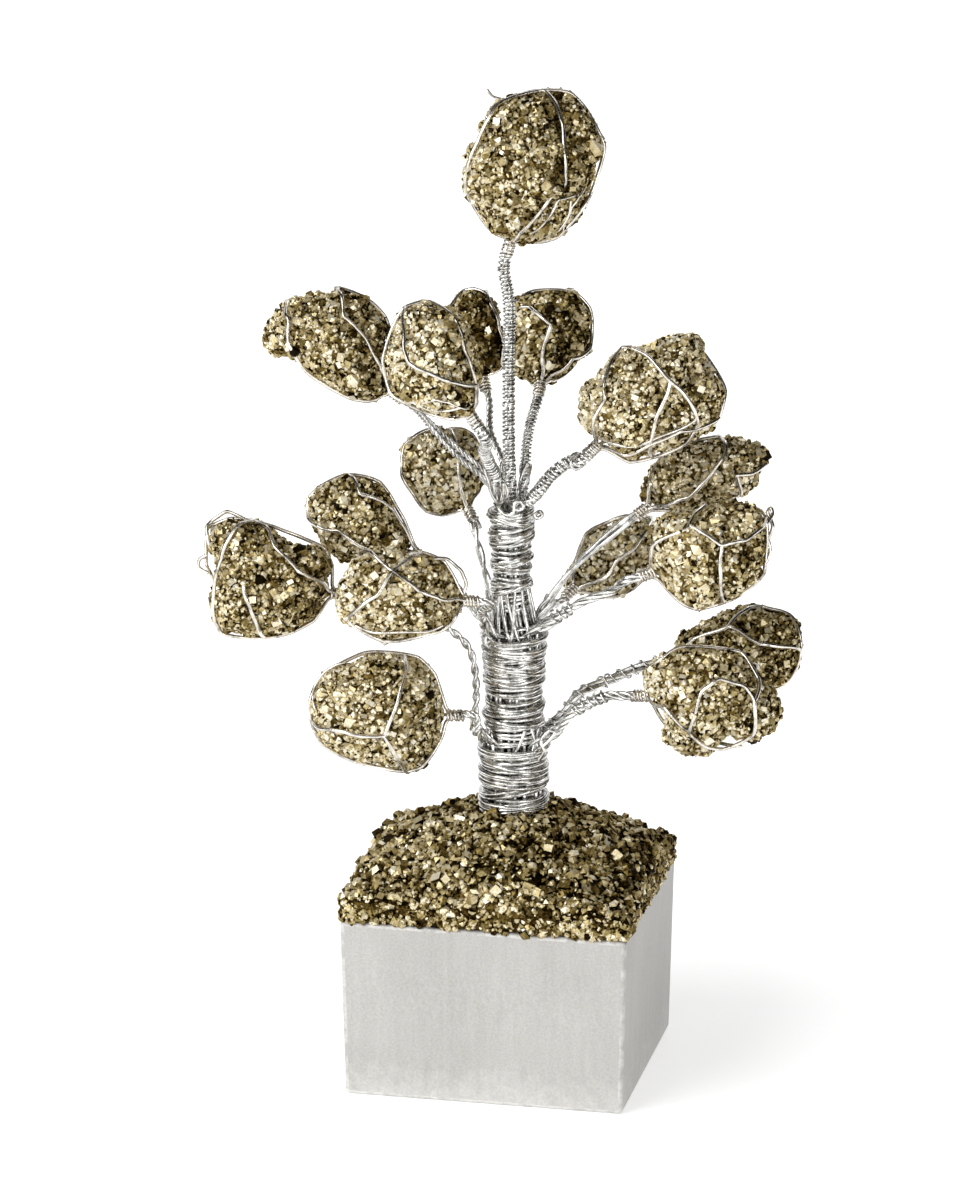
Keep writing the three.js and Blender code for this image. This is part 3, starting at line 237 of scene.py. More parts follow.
BRANCHES["right_front"] = dict(
    tier="middle", at=(39.9, -14, 21.1), neck=(197, 0), leaves=318,
    tone=0.54, stem=(1, 4, 14.0, 0.8, (1.25, 0.3, 0.45, 1.6, 0.5)),
    via=[(6.6, -5.2, 3.7), (13.5, -8, 9.1), (20, -11, 12.7)],
    cage=[[NECK, (170, 30), (133, 52), (97, 15), (95, -45), (200, -70), NECK],
          [NECK, (239, 5), (-92, 6), (-52, 8), (-20, 6), (8, 8), (34, 8), (60, -30), (120, -55),
           (190, -40), NECK],
          [(128, 50), (48, 77), (24, 52), (34, 4)],
          [(48, 76), (-76, 60), (-76, 20), (-84, 4), (-88, -50)]],
    loose=[(0.8, [(30, 10, 0.2), (33, 4, 1.5), (37, 2, 1.7), (36, 0, 0.6), (25, 5, 1.2), (15, 5, 0.3),
                  (5, 5, 0.8),
                  (-8, 8, 0.2)])],
)
BRANCHES["right_back"] = dict(
    tier="middle", at=(20.9, 26, 9.8), neck=(222, 22), leaves=52,
    tone=0.64, stem=(1, 3, 4.5, 0.75, None),
    via=[(5.2, 5.4, 2.1), (8.6, 12, 3.1)],
    cage=[[NECK, (245, 50), (10, 68), (40, 10), (60, -45), (200, -60), NECK],
          [NECK, (165, 30), (110, 20), (60, 20), (40, 10), (0, 0), (-60, 0), NECK]],
)
BRANCHES["low_left"] = dict(
    tier="lower", at=(-28.1, -8, 8.8), neck=(-1, 0), leaves=215,
    tone=0.58, stem=(1, 3, 4.2, 0.85, None),
    via=[(-7.5, -6.6, 4.6)],
    cage=[[NECK, (-36, 6), (-62, 6), (-105, 4), (215, 3), (185, 4), (140, 6), (105, 4), (66, 6),
           (30, 3), NECK],
          [(186, 6), (206, 55), (-72, 68), (-64, 30), (-62, 2), (-70, -50), (-20, -60), (0, -25), NECK],
          [(-72, 68), (32, 66), (60, 36), (68, 4), (80, -50), (180, -65), (184, 4)]],
    loose=[(0.7, [(175, 25, 0), (160, 18, 0.4), (140, 20, 0.6), (122, 22, 0.2)])],
)
BRANCHES["low_right_front"] = dict(
    tier="lower", at=(40.4, -14, 14.5), neck=(180, -14), leaves=330,
    tone=0.55, stem=(1, 4, 9.0, 0.85, (1.3, 0.5, 0.75, 1.4, 0.5)),
    via=[(8.4, -4.4, 3.6), (12.6, -6.8, 9.2), (19, -9, 13)],
    cage=[[NECK, (145, 12), (101, 12), (56, 12), (22, 28), (-6, 46), (-48, 26), (-78, 10), (234, 44),
           (192, 34), NECK],
          [(236, 42), (152, 76), (78, 70), (20, 56), (-6, 46)],
          [NECK, (175, -50), (60, -65), (40, -20), (30, 14)],
          [NECK, (215, -30), (-90, -45), (-60, 0), (-70, 16)]],
)
BRANCHES["low_right_back"] = dict(
    tier="lower", at=(48, 13, 16.8), neck=(190, 6), leaves=22,
    # painted shade: a low tone, as this nugget sits in the shade at the back
    tone=0.35, stem=(1, 3, 30.0, 1.0, (1.3, 0.15, 1.0, 2.6, 0.5)),
    via=[(9.2, 3.2, 3.8), (13.4, 5.4, 8.6), (22.1, 9.4, 11.6)],
    cage=[[NECK, (160, 40), (132, 56), (10, 72), (-4, 12), (-10, -40), (190, -65), NECK],
          [NECK, (215, 8), (-90, 2), (-40, 4), (-4, 12), (34, 6), (67, 6), (111, 48), (132, 56)],
          [NECK, (165, -30), (100, -40), (67, 6)]],
)
BRANCHES["far_left"] = dict(
    tier="lower", at=(-50.2, -2, 35.8), neck=(-12, 0), leaves=168,
    tone=0.46, stem=(1, 2, 6.0, 0.9, None),
    via=[(-8, 0.6, 3), (-7.9, 0.4, 13.6), (-9.4, 0, 20.5), (-14.4, -1.6, 25.6), (-23.4, -2.4, 29)],
    cage=[[NECK, (-4, 28), (14, 60), (79, 52), (104, 8), (120, -40), (190, -70), NECK],
          [(104, 8), (116, 30), (155, 40), (190, 30), (228, 6), (-94, 2), (-48, 6), NECK],
          [NECK, (30, 4), (78, 8), (104, 8), (140, 0), (166, 2), (200, -40), (-60, -60), NECK]],
    loose=[(0.8, [(158, 5, 0.3), (164, 3, 1.8), (170, 2, 1.9), (174, 5, 0.2)]),
           (0.8, [(150, 10, 0), (135, 5, 1.2), (122, 5, 1.6), (110, 10, 0.4)]),
           (0.9, [(190, 68), (237, 60), (262, 30), (266, 2)])],
)

TREE = (
    Matrix.Translation(Vector((*TRUNK_PLACE, BLOCK_HEIGHT)) * MM)
    @ Matrix.Rotation(radians(CROWN_TURN), 4, "Z")
    @ Matrix.Scale(MM, 4)
)


def nugget_frame(branch):
    """Takes a nugget's own millimetres to the object's metres."""
    x, y, z = branch["at"]
    tier_height = TIERS[branch["tier"]][0]
    tip_back = Matrix.Rotation(-radians(FACE_UP), 4, "X")
    return TREE @ Matrix.Translation((x, y, z + tier_height)) @ tip_back


def direction(angle, front, proud=0.0):
    """The direction of a stop in the tables. How proud the wire stands there doesn't change it."""
    across = cos(radians(front))
    a = radians(angle)
    return Vector((across * cos(a), -sin(radians(front)), across * sin(a)))


# ---- materials


def paint(code):
    """Linear colour for an ordinary hexadecimal one."""
    shares = [int(code[i:i + 2], 16) / 255 for i in (0, 2, 4)]
    return [s / 12.92 if s <= 0.04045 else ((s + 0.055) / 1.055) ** 2.4 for s in shares] + [1.0]


def put(tree, kind, inputs=(), **settings):
    """Adds a node; an input given as a socket is linked, any other value is set."""
    made = tree.nodes.new(kind)
    for name, value in settings.items():
        setattr(made, name, value)
    for socket, value in dict(inputs).items():
        if isinstance(value, bpy.types.NodeSocket):
            tree.links.new(value, made.inputs[socket])
        else:
            made.inputs[socket].default_value = value
    return made


def ramp(tree, factor, stops):
    """A colour ramp, its stops given as (place, hexadecimal colour)."""
    made = put(tree, "ShaderNodeValToRGB", {"Fac": factor})
    ends = made.color_ramp.elements
    while len(ends) < len(stops):
        ends.new(0.5)
    for end, (place, code) in zip(ends, stops):
        end.position = place
        end.color = paint(code)
    return made.outputs["Color"]


def noise_of(tree, place, scale, detail):
    return put(tree, "ShaderNodeTexNoise", {"Vector": place, "Scale": scale, "Detail": detail}).outputs["Fac"]


def remap(tree, value, low, high, to_low=0.0, to_high=1.0, **settings):
    """Maps the range low to high onto another, and clamps what lies outside."""
    return put(tree, "ShaderNodeMapRange", {
        "Value": value, "From Min": low, "From Max": high, "To Min": to_low, "To Max": to_high,
    }, **settings).outputs["Result"]


def new_material(name):
    """A material with its node tree and its Principled shader."""
    made = bpy.data.materials.new(name)
    made.use_nodes = True
    return made, made.node_tree, made.node_tree.nodes["Principled BSDF"]


def sums(tree, operation, a, b=None, c=None):
    """The result of a maths node on two or three sockets or numbers."""
    made = put(tree, "ShaderNodeMath", operation=operation)
    for socket, value in zip(made.inputs, (a, b, c)):
        if isinstance(value, bpy.types.NodeSocket):
            tree.links.new(value, socket)
        elif value is not None:
            socket.default_value = value
    return made.outputs[0]


def feed(tree, inputs, sockets):
    for name, socket in sockets.items():
        tree.links.new(socket, inputs[name])


def node_group(name, inputs, outputs):
    """An empty node group with its sockets, and the nodes that hold what goes in and what comes out."""
    group = bpy.data.node_groups.new(name, "ShaderNodeTree")
    for label, kind, value in inputs:
        socket = group.interface.new_socket(name=label, in_out="INPUT", socket_type=kind)
        if value is not None:
            socket.default_value = value
    for label, kind in outputs:
        group.interface.new_socket(name=label, in_out="OUTPUT", socket_type=kind)
    return group, put(group, "NodeGroupInput"), put(group, "NodeGroupOutput")


def pyrite_group():
    """Colour, roughness and fine relief of pyrite, from the tone that each crystal face carries, with painted
    shade in small dark pits.
    """
    group, given, result = node_group(
        "pyrite_faces",
        [("Lift", "NodeSocketFloat", 0.0)],
        [("Color", "NodeSocketColor"), ("Roughness", "NodeSocketFloat"), ("Height", "NodeSocketFloat")],
    )
    tone = put(group, "ShaderNodeAttribute", attribute_name="tone").outputs["Fac"]
    place = put(group, "ShaderNodeTexCoord").outputs["Object"]
    stain = noise_of(group, place, 260.0, 3.0)
    speck = noise_of(group, place, 2100.0, 2.0)
    # painted shade: dark dots where a cell's middle lies near the surface, for the shade in small pits
    hollows = put(group, "ShaderNodeTexVoronoi", {"Vector": place, "Scale": 620.0})
    pit_shade = remap(group, hollows.outputs["Distance"], 0.15, 0.24, -0.5, 0.0)
    mixed = sums(group, "ADD", sums(group, "ADD", tone, pit_shade), given.outputs["Lift"])
    for value, share in ((stain, 0.45), (speck, 0.5)):
        mixed = sums(group, "MULTIPLY_ADD", sums(group, "ADD", value, -0.5), share, mixed)
    colour = ramp(group, mixed, [
        (0.00, "0A0400"), (0.14, "2C1C03"), (0.30, "685629"), (0.47, "A08F5F"),
        (0.62, "C9B98C"), (0.78, "E6D9B4"), (1.00, "FCF5E0"),
    ])
    rough = remap(group, speck, 0.0, 1.0, 0.2, 0.55)
    feed(group, result.inputs, {"Color": colour, "Roughness": rough, "Height": speck})
    return group


def silver_group():
    """Drawn silver wire: painted reflection as broken light and dark along its length, with a fine drawn
    grain.
    """
    group, given, result = node_group(
        "drawn_silver",
        [("Patch", "NodeSocketFloat", 420.0), ("Lift", "NodeSocketFloat", 0.0),
         ("Tint", "NodeSocketColor", WHITE)],
        [("Color", "NodeSocketColor"), ("Roughness", "NodeSocketFloat"), ("Height", "NodeSocketFloat")],
    )
    place = put(group, "ShaderNodeTexCoord").outputs["Object"]
    # painted reflection: patches of light and dark along the wire
    patch = put(group, "ShaderNodeTexNoise", {
        "Vector": place, "Scale": given.outputs["Patch"], "Detail": 3.0, "Roughness": 0.65,
    }).outputs["Fac"]
    grain = noise_of(group, place, 2600.0, 1.0)
    spread = remap(group, patch, 0.3, 0.7)
    tone = sums(group, "ADD", sums(group, "MULTIPLY_ADD", grain, 0.3, sums(group, "ADD", spread, -0.15)),
                given.outputs["Lift"])
    colour = ramp(group, tone, [
        (0.00, "33312D"), (0.22, "94928D"), (0.50, "D2D1CD"), (1.00, "FAFAF8"),
    ])
    tinted = put(group, "ShaderNodeVectorMath", {0: colour, 1: given.outputs["Tint"]}, operation="MULTIPLY")
    rough = remap(group, grain, 0.0, 1.0, 0.12, 0.34)
    feed(group, result.inputs, {"Color": tinted.outputs[0], "Roughness": rough, "Height": grain})
    return group


def finish_from(name, group, metallic, relief, edge=None, **values):
    """A metal whose colour, roughness and relief come from a node group. edge: its tint at a flat angle."""
    made, tree, shader = new_material(name)
    surface = put(tree, "ShaderNodeGroup", node_tree=group)
    for label, value in values.items():
        surface.inputs[label].default_value = value
    bump = put(tree, "ShaderNodeBump", {
        "Height": surface.outputs["Height"], "Strength": relief, "Distance": 0.0002,
    })
    shader.inputs["Metallic"].default_value = metallic
    if edge is not None:
        shader.inputs["Specular Tint"].default_value = edge
        shader.inputs["Specular IOR Level"].default_value = 0.25
    feed(tree, shader.inputs, {
        "Base Color": surface.outputs["Color"], "Roughness": surface.outputs["Roughness"],
        "Normal": bump.outputs["Normal"],
    })
    return made


def cast_silver():
    """Satin cast block: cloudy, with a fine sparkle, faint upright brush marks and paler worn edges, and
    paler towards its foot, painted light from the floor.
    """
    made, tree, shader = new_material("cast_silver")
    place = put(tree, "ShaderNodeTexCoord").outputs["Object"]
    cloud = noise_of(tree, place, 28.0, 5.0)
    upright = put(tree, "ShaderNodeMapping", {"Vector": place, "Scale": (1.0, 1.0, 0.12)}).outputs["Vector"]
    brushed = noise_of(tree, upright, 700.0, 3.0)
    sparkle = noise_of(tree, place, 2300.0, 2.0)
    chips = noise_of(tree, place, 380.0, 4.0)
    tone = 0.02
    for value, share in ((cloud, 0.46), (brushed, 0.17), (sparkle, 0.42)):
        tone = sums(tree, "MULTIPLY_ADD", value, share, tone)
    # painted light: paler towards the foot, up to about 14 mm, as lit from the floor below
    height = put(tree, "ShaderNodeSeparateXYZ", {"Vector": place}).outputs["Z"]
    height = sums(tree, "MULTIPLY_ADD", chips, 0.012, height)
    painted_floor_light = remap(tree, height, 0.006, 0.014, 0.2, 0.0)
    edge = put(tree, "ShaderNodeAttribute", attribute_name="edge").outputs["Fac"]
    rubbed = remap(tree, chips, 0.42, 0.56, 0.0, 0.26)
    tone = sums(tree, "ADD", tone, painted_floor_light)
    tone = sums(tree, "MULTIPLY_ADD", edge, rubbed, tone)
    colour = ramp(tree, tone, [(0.25, "A4A29D"), (0.50, "C2C0BC"), (0.80, "DEDCD8"), (1.0, "F0EFEC")])
    rough = remap(tree, sparkle, 0.0, 1.0, 0.34, 0.62)
    relief = sums(tree, "MULTIPLY_ADD", brushed, 0.6, sparkle)
    bump = put(tree, "ShaderNodeBump", {"Height": relief, "Strength": 0.25, "Distance": 0.0002})
    shader.inputs["Metallic"].default_value = 0.15
    feed(tree, shader.inputs, {"Base Color": colour, "Roughness": rough, "Normal": bump.outputs["Normal"]})
    return made


GOLDEN = (0.62, 0.5, 0.26, 1.0)
PYRITE_FACES = pyrite_group()
DRAWN_SILVER = silver_group()
PYRITE = finish_from("pyrite", PYRITE_FACES, 0.6, 0.4, edge=GOLDEN, Lift=0.2)
PYRITE_CHIPS = finish_from("pyrite_chips", PYRITE_FACES, 0.6, 0.4, edge=GOLDEN, Lift=0.08)
# painted reflection: the cage's warm tint stands for the gold stones mirrored in its wire
CAGE_SILVER = finish_from("cage_silver", DRAWN_SILVER, 1.0, 0.15, Patch=260.0, Lift=0.12,
                          Tint=(1.0, 0.95, 0.89, 1.0))
STEM_SILVER = finish_from("stem_silver", DRAWN_SILVER, 1.0, 0.15, Patch=500.0, Lift=0.14)
WRAP_SILVER = finish_from("wrap_silver", DRAWN_SILVER, 1.0, 0.15, Patch=520.0, Lift=0.08)
# painted shade: the core is darker silver, for the shade in the gaps between the turns of the wraps
CORE_SILVER_PAINTED_SHADE = finish_from("core_silver_painted_shade", DRAWN_SILVER, 1.0, 0.15, Patch=420.0, Lift=-0.3)
CAST_SILVER = cast_silver()


# ---- pieces


def add_object(name, data):
    made = bpy.data.objects.new(name, data)
    bpy.context.scene.collection.objects.link(made)
    return made


def add_piece(name, data, material, slot, *nodes):
    """One piece of the object: on the only body, in place of the CAD nodes named. slot: not used."""
    piece = add_object(name, data)
    data.materials.append(material)
    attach(piece, "root")
    if nodes:
        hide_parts(*nodes)
    return piece


def merged_copy(node, place):
    """A CAD node's mesh with its doubles merged, brought into another frame."""
    copy = bmesh.new()
    copy.from_mesh(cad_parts[node].data)
    bmesh.ops.remove_doubles(copy, verts=copy.verts[:], dist=1e-5)
    bmesh.ops.transform(copy, matrix=place, verts=copy.verts[:])
    return copy


# ---- routes of wire, millimetres


def smooth_route(points, step):
    """A smooth curve through the points, given as further points about one step apart."""
    ends = [2 * points[0] - points[1], *points, 2 * points[-1] - points[-2]]
    route = []
    for before, start, end, after in zip(ends, ends[1:], ends[2:], ends[3:]):
        t1 = sqrt((start - before).length)
        t2 = t1 + sqrt((end - start).length)
        t3 = t2 + sqrt((after - end).length)
        count = max(2, ceil((end - start).length / step))
        for i in range(count):
            t = t1 + (t2 - t1) * i / count
            a1 = before.lerp(start, t / t1)
            a2 = start.lerp(end, (t - t1) / (t2 - t1))
            a3 = end.lerp(after, (t - t2) / (t3 - t2))
            b1 = a1.lerp(a2, t / t2)
            b2 = a2.lerp(a3, (t - t1) / (t3 - t1))
            route.append(b1.lerp(b2, (t - t1) / (t2 - t1)))
    return [*route, points[-1].copy()]


def framed(route, side):
    """Each point of a route with its distance along it and two directions across it. The first
    direction starts out towards side and follows the route without twisting."""
    across = side.copy()
    run = 0.0
    for i, point in enumerate(route):
        ahead = (route[min(i + 1, len(route) - 1)] - route[max(i - 1, 0)]).normalized()
        across = (across - across.dot(ahead) * ahead).normalized()
        if i:
            run += (point - route[i - 1]).length
        yield point, run, across.copy(), ahead.cross(across)


def eased(value, low, high):
    """0 up to low, 1 from high on, and a soft step between."""
    share = min(1.0, max(0.0, (value - low) / (high - low)))
    return share * share * (3 - 2 * share)


def laid_up(route, side, count, radius, pitch, flare=0.0, gather=(0.0, 1.0), turn=0.0):
    """Wires twisted round one another. Where flare is given they start side by side, that far apart,
    and gather into the twist between the two distances along the route."""
    wires = [[] for _ in range(count)]
    for point, run, across, up in framed(route, side):
        gathered = eased(run, *gather) if flare else 1.0
        for j, wire in enumerate(wires):
            angle = turn + 2 * pi * (j / count + max(0.0, run - gather[0]) / pitch)
            twisted = radius * (cos(angle) * across + sin(angle) * up)
            level = flare * (j - (count - 1) / 2) * across
            wire.append(point + level.lerp(twisted, gathered))
    return wires


def bound_round(route, side, radius, start, end, pitch, rng, steps=11):
    """A wire coiled closely round a route between two distances along it."""
    places = list(framed(route, side))
    runs = [place[1] for place in places]
    end = min(end, runs[-1])
    count = max(2, round((end - start) / pitch * steps))
    wire = []
    low = 0
    drift = rng.uniform(0, 100)
    for i in range(count + 1):
        run = start + (end - start) * i / count
        run += 0.5 * pitch * noise.noise(Vector((drift, 0.08 * i, 0)))
        while low < len(runs) - 2 and runs[low + 1] < run:
            low += 1
        share = (run - runs[low]) / max(1e-6, runs[low + 1] - runs[low])
        a, b = places[low], places[low + 1]
        angle = 2 * pi * i / steps
        reach = radius * (1 + 0.1 * noise.noise(Vector((0.13 * i, drift, 0))))
        centre = a[0].lerp(b[0], share)
        across, up = a[2].lerp(b[2], share), a[3].lerp(b[3], share)
        wire.append(centre + reach * (cos(angle) * across + sin(angle) * up))
    return wire


def wire_piece(name, runs, place, material, *nodes):
    """One piece made of lengths of round wire, each given as (points, diameter)."""
    curve = bpy.data.curves.new(name, "CURVE")
    curve.dimensions = "3D"
    curve.bevel_depth = WIRE / 2 * MM
    curve.bevel_resolution = 1
    curve.use_fill_caps = True
    for points, diameter in runs:
        spline = curve.splines.new("POLY")
        spline.points.add(len(points) - 1)
        flat = []
        for point in points:
            flat.extend((*(place @ point), 1.0))
        spline.points.foreach_set("co", flat)
        spline.points.foreach_set("radius", [diameter / WIRE] * len(points))
        spline.use_smooth = True
    return add_piece(name, curve, material, "wire", *nodes)


# ---- pyrite


def crease(point, seed, gully):
    """0 on the crown of a crystal cluster, 1 in the cleft between two, and more in a gully."""
    there = point * 0.2 + Vector((seed * 7.3, seed * 3.1, 0))
    ridge = abs(noise.noise(there)) + 0.5 * abs(noise.noise(there * 2.1))
    depth = 1 - min(1.0, ridge / 0.2)
    for bottom in gully:
        depth = max(depth, CREASE_DEPTH * (1 - point.angle(bottom) / CREASE_WIDTH))
    return depth


def gully_line(stops):
    """Directions close together along the bottom of a gully."""
    line = []
    for start, end in zip(stops, stops[1:]):
        line += [direction(*start).lerp(direction(*end), step / 6) for step in range(7)]
    return line


def crystal_crust(ground, rng, seed, kinds, bias, spread, gully=(), limit=None):
    """Crystals set at random into the faces of the ground, with a tone for every face: bias and spread
    are the tones' middle and scatter. limit: how far out in X and Y the crystals may stand."""
    bmesh.ops.triangulate(ground, faces=ground.faces[:])
    faces = ground.faces[:]
    areas = [face.calc_area() for face in faces]
    total = sum(areas)
    batch_size = 50  # small meshes keep the adding of each crystal quick
    # painted shade: the ground between the crystals is near black, for the shade in the gaps between them
    marks = [(0.02 + 0.14 * rng.random(), None) for _ in faces]
    batches = []
    for density, sizes, sink, cubes, lift in kinds:
        picks = rng.choices(faces, weights=areas, k=round(density * total))
        for n, face in enumerate(picks):
            if n % batch_size == 0:
                batch = bmesh.new()
                batches.append(batch)
            a, b, c = (vert.co for vert in face.verts)
            u, v = rng.random(), rng.random()
            if u + v > 1:
                u, v = 1 - u, 1 - v
            spot = a + u * (b - a) + v * (c - a)
            cleft = crease(spot, seed, gully)
            size = rng.uniform(*sizes) * (1 - 0.35 * cleft)
            shape = Vector([size * rng.uniform(0.75, 1.25) for _ in range(3)])
            turn = Quaternion([rng.gauss(0, 1) for _ in range(4)]).normalized()
            spot = spot + face.normal * size * (rng.uniform(*sink) - 0.2 * cleft)
            if limit:
                for axis in (0, 1):
                    room = limit[axis] - 0.45 * size
                    spot[axis] = max(-room, min(room, spot[axis]))
            place = Matrix.LocRotScale(spot, turn, shape)
            patch = noise.noise(spot * 0.33 + Vector((0, 0, seed)))
            # painted shade: the pyrite is darker in the clefts between clusters and along a gully
            tone = bias + lift - CLEFT_SHADE * cleft + 0.2 * patch + rng.gauss(0, spread)
            # painted shade: faces turned to the right are darker
            tone -= PAINTED_SHADE_ON_RIGHT * face.normal.x
            glint_share = rng.choice((0.02, 0.03, 0.14))  # the share of the crystal's faces that get a painted glint
            if rng.random() < cubes:
                bmesh.ops.create_cube(batch, size=CUBE_SIDE, matrix=place)
                sides = 6
            else:
                bmesh.ops.create_icosphere(batch, subdivisions=1, radius=GRAIN_RADIUS, matrix=place)
                sides = 20
            for _ in range(sides):
                # painted highlight: a few faces are made paler, as glints
                glint = PAINTED_GLINT if rng.random() < glint_share else 0.0
                marks.append((tone + rng.gauss(0, 0.09) + glint, face.normal))
    marks = [(tone, out and out.copy()) for tone, out in marks]
    crust = bmesh.new()
    for part in (ground, *batches):
        carrier = bpy.data.meshes.new("carrier")
        part.to_mesh(carrier)
        crust.from_mesh(carrier)
        bpy.data.meshes.remove(carrier)
        part.free()
    tones = []
    # painted shade: crystal faces turned away from the ground's outward direction are darker, as the shaded
    # sides of the crystals
    for face, (tone, out) in zip(crust.faces, marks):
        painted_side_shade = 0.0 if out is None else max(0.0, 0.75 - face.normal.dot(out))
        tones.append(tone - 0.8 * painted_side_shade)
    return crust, tones


def pyrite_piece(name, crust, tones, place, material, slot, node):
    bmesh.ops.transform(crust, matrix=place, verts=crust.verts[:])
    mesh = bpy.data.meshes.new(name)
    crust.to_mesh(mesh)
    crust.free()
    mesh.attributes.new("tone", "FLOAT", "FACE").data.foreach_set("value", tones)
    return add_piece(name, mesh, material, slot, node)


def make_nugget(branch_name, branch, seed):
    rng = random.Random(100 + seed)
    place = nugget_frame(branch)
    node = f"nugget_{branch_name}"
    lump = merged_copy(node, place.inverted())
    bmesh.ops.subdivide_edges(lump, edges=lump.edges[:], cuts=2, use_grid_fill=True)
    lump.normal_update()
    gully = gully_line(branch.get("gully", ()))
    moves = []  # the ground under the crystals sinks into the clefts and swells between them
    for vert in lump.verts:
        swell = noise.noise(vert.co * 0.3 + Vector((seed, 0, 0)))
        knob = noise.noise(vert.co * 0.13 + Vector((0, seed, 3)))
        inward = 0.7 + 1.6 * crease(vert.co, seed, gully) - 1.0 * swell - 1.8 * knob
        share = 0.4 + 0.6 * abs(vert.normal.y)  # less at the outline, which stays the nugget's own
        moves.append((vert, vert.normal * max(0.05, inward * share)))
    for vert, inward in moves:
        vert.co -= inward
    lump.normal_update()
    crust, tones = crystal_crust(lump, rng, seed, NUGGET_CRYSTALS, branch["tone"], 0.15, gully)
    pyrite_piece(f"pyrite_{branch_name}", crust, tones, place, PYRITE, "nugget", node)


def make_mound():
    rng = random.Random(7)
    place = Matrix.Scale(MM, 4)
    heap = merged_copy("chip_mound", place.inverted())
    bmesh.ops.triangulate(heap, faces=heap.faces[:])
    heap.normal_update()
    limit = [side / MM + CHIP_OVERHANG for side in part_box("base_block")[1]]
    underside = [face for face in heap.faces if face.normal.z < -0.5]
    bmesh.ops.delete(heap, geom=underside, context="FACES")
    crust, tones = crystal_crust(heap, rng, 50, CHIPS, CHIPS_TONE, 0.19, limit=limit)
    pyrite_piece("chips_mound", crust, tones, place, PYRITE_CHIPS, "chips", "chip_mound")


# ---- cages


def taut_skin(node, place):
    """Ray-cast tree of the skin that a taut wire rests on: the nugget's hull, in its own frame."""
    shell = merged_copy(node, place.inverted())
    bmesh.ops.delete(shell, geom=shell.edges[:] + shell.faces[:], context="EDGES_FACES")
    bmesh.ops.convex_hull(shell, input=shell.verts[:])
    bmesh.ops.recalc_face_normals(shell, faces=shell.faces[:])
    skin = BVHTree.FromBMesh(shell)
    shell.free()
    return skin


def skin_reach(skin, toward):
    """How far from the nugget's centre the middle of a wire lies in the given direction."""
    hit, normal, _, _ = skin.ray_cast(Vector(), toward)
    return hit.length + WIRE_REST / max(0.6, abs(normal.dot(toward)))


def cage_wire(stops, neck, skin, collar_start, rng):
    """A wire pulled taut over the skin from stop to stop, with a slight wander of its own."""
    arc_step = 6.0  # degrees
    towards = [neck if stop == NECK else direction(*stop) for stop in stops]
    proud = [stop[2] if len(stop) == 3 else 0.0 for stop in stops]
    route, lifts = [towards[0]], [proud[0]]
    for start, end, low, high in zip(towards, towards[1:], proud, proud[1:]):
        angle = start.angle(end)
        legs = max(1, round(degrees(angle) / arc_step))
        for leg in range(1, legs + 1):
            route.append(Quaternion(start.cross(end).normalized(), angle * leg / legs) @ start)
            lifts.append(low + (high - low) * leg / legs)
    resting = [skin_reach(skin, toward) for toward in route]
    reach = resting[:]
    for _ in range(3):
        for i in range(1, len(reach) - 1):
            reach[i] = max(resting[i], (reach[i - 1] + reach[i] + reach[i + 1]) / 3)
    drift = rng.uniform(0, 100)
    points = []
    for i, (toward, far, lift) in enumerate(zip(route, reach, lifts)):
        wander = Vector([noise.noise(Vector((drift + 9 * k, 0.22 * i, 0))) for k in range(3)])
        points.append(toward * (far + lift) + 0.6 * (wander - wander.dot(toward) * toward))
    if stops[0] == NECK:
        points = into_neck(points[::-1], neck, collar_start)[::-1]
    if stops[-1] == NECK:
        points = into_neck(points, neck, collar_start)
    return points


def into_neck(points, neck, collar_start):
    """Ends a cage wire down the side of the neck instead of at its middle."""
    kept = [p for i, p in enumerate(points) if i < 2 or p.normalized().angle(neck) > radians(12)]
    last = kept[-1]
    sideways = (last - last.dot(neck) * neck).normalized()
    throat = neck * (collar_start - 0.3) + sideways * 0.95
    end = neck * (collar_start + COLLAR_LENGTH) + sideways * 0.6
    return [*kept, throat, end]


def make_cage(branch_name, branch, seed):
    """Makes the cage, and gives the two points between which the stem comes in under it."""
    rng = random.Random(300 + seed)
    place = nugget_frame(branch)
    skin = taut_skin(f"nugget_{branch_name}", place)
    neck = direction(*branch["neck"])
    collar_start = skin_reach(skin, neck) + 0.8
    runs = []
    for stops in branch["cage"]:
        points = cage_wire(stops, neck, skin, collar_start, rng)
        runs.append((smooth_route(points, 1.0), CAGE_WIRE))
    for thickness, stops in branch.get("loose", ()):
        runs.append((smooth_route(cage_wire(stops, neck, skin, collar_start, rng), 0.7), thickness))
    axis = [neck * (collar_start - 0.6), neck * (collar_start + COLLAR_LENGTH + 0.6)]
    side = neck.orthogonal().normalized()
    collar = bound_round(smooth_route(axis, 0.5), side, COLLAR_RADIUS, 0, 9, 0.72, rng)
    runs.append((collar, COLLAR_WIRE))
    name = f"cage_{branch_name}"
    wire_piece(f"wire_{name}", runs, place, CAGE_SILVER, name)
    return place @ (neck * collar_start), place @ (neck * (collar_start + COLLAR_LENGTH + 2.8))


# ---- stems


def stem_route(branch, neck_point, approach):
    """The stem climbs out from under its wrap, past the next wrap's foot, and on to its nugget. Gives
    the route and the direction in which its wires lie side by side at first."""
    height, tail, above, gap = TIERS[branch["tier"]]
    axis = UPPER_SHIFT if branch["tier"] == "upper" else 0.0
    x, y = 0.0, 0.0
    if branch["leaves"] is not None:
        turn = radians(branch["leaves"])
        x, y = cos(turn), sin(turn)
    points = [Vector((axis + x * tail, y * tail, height + z)) for z in (-4, 0.4)]
    if branch["tier"] == "lower":
        lip = above + 1.5
        points.append(Vector((x * lip, y * lip, height + gap - 1)))
    points += [Vector((a, b, c + height)) for a, b, c in branch["via"]]
    back = TREE.inverted()
    points += [back @ approach, back @ neck_point]
    side = Vector((1, 0, 0)) if branch["leaves"] is None else Vector((-y, x, 0.0))
    return smooth_route(points, 0.55), side


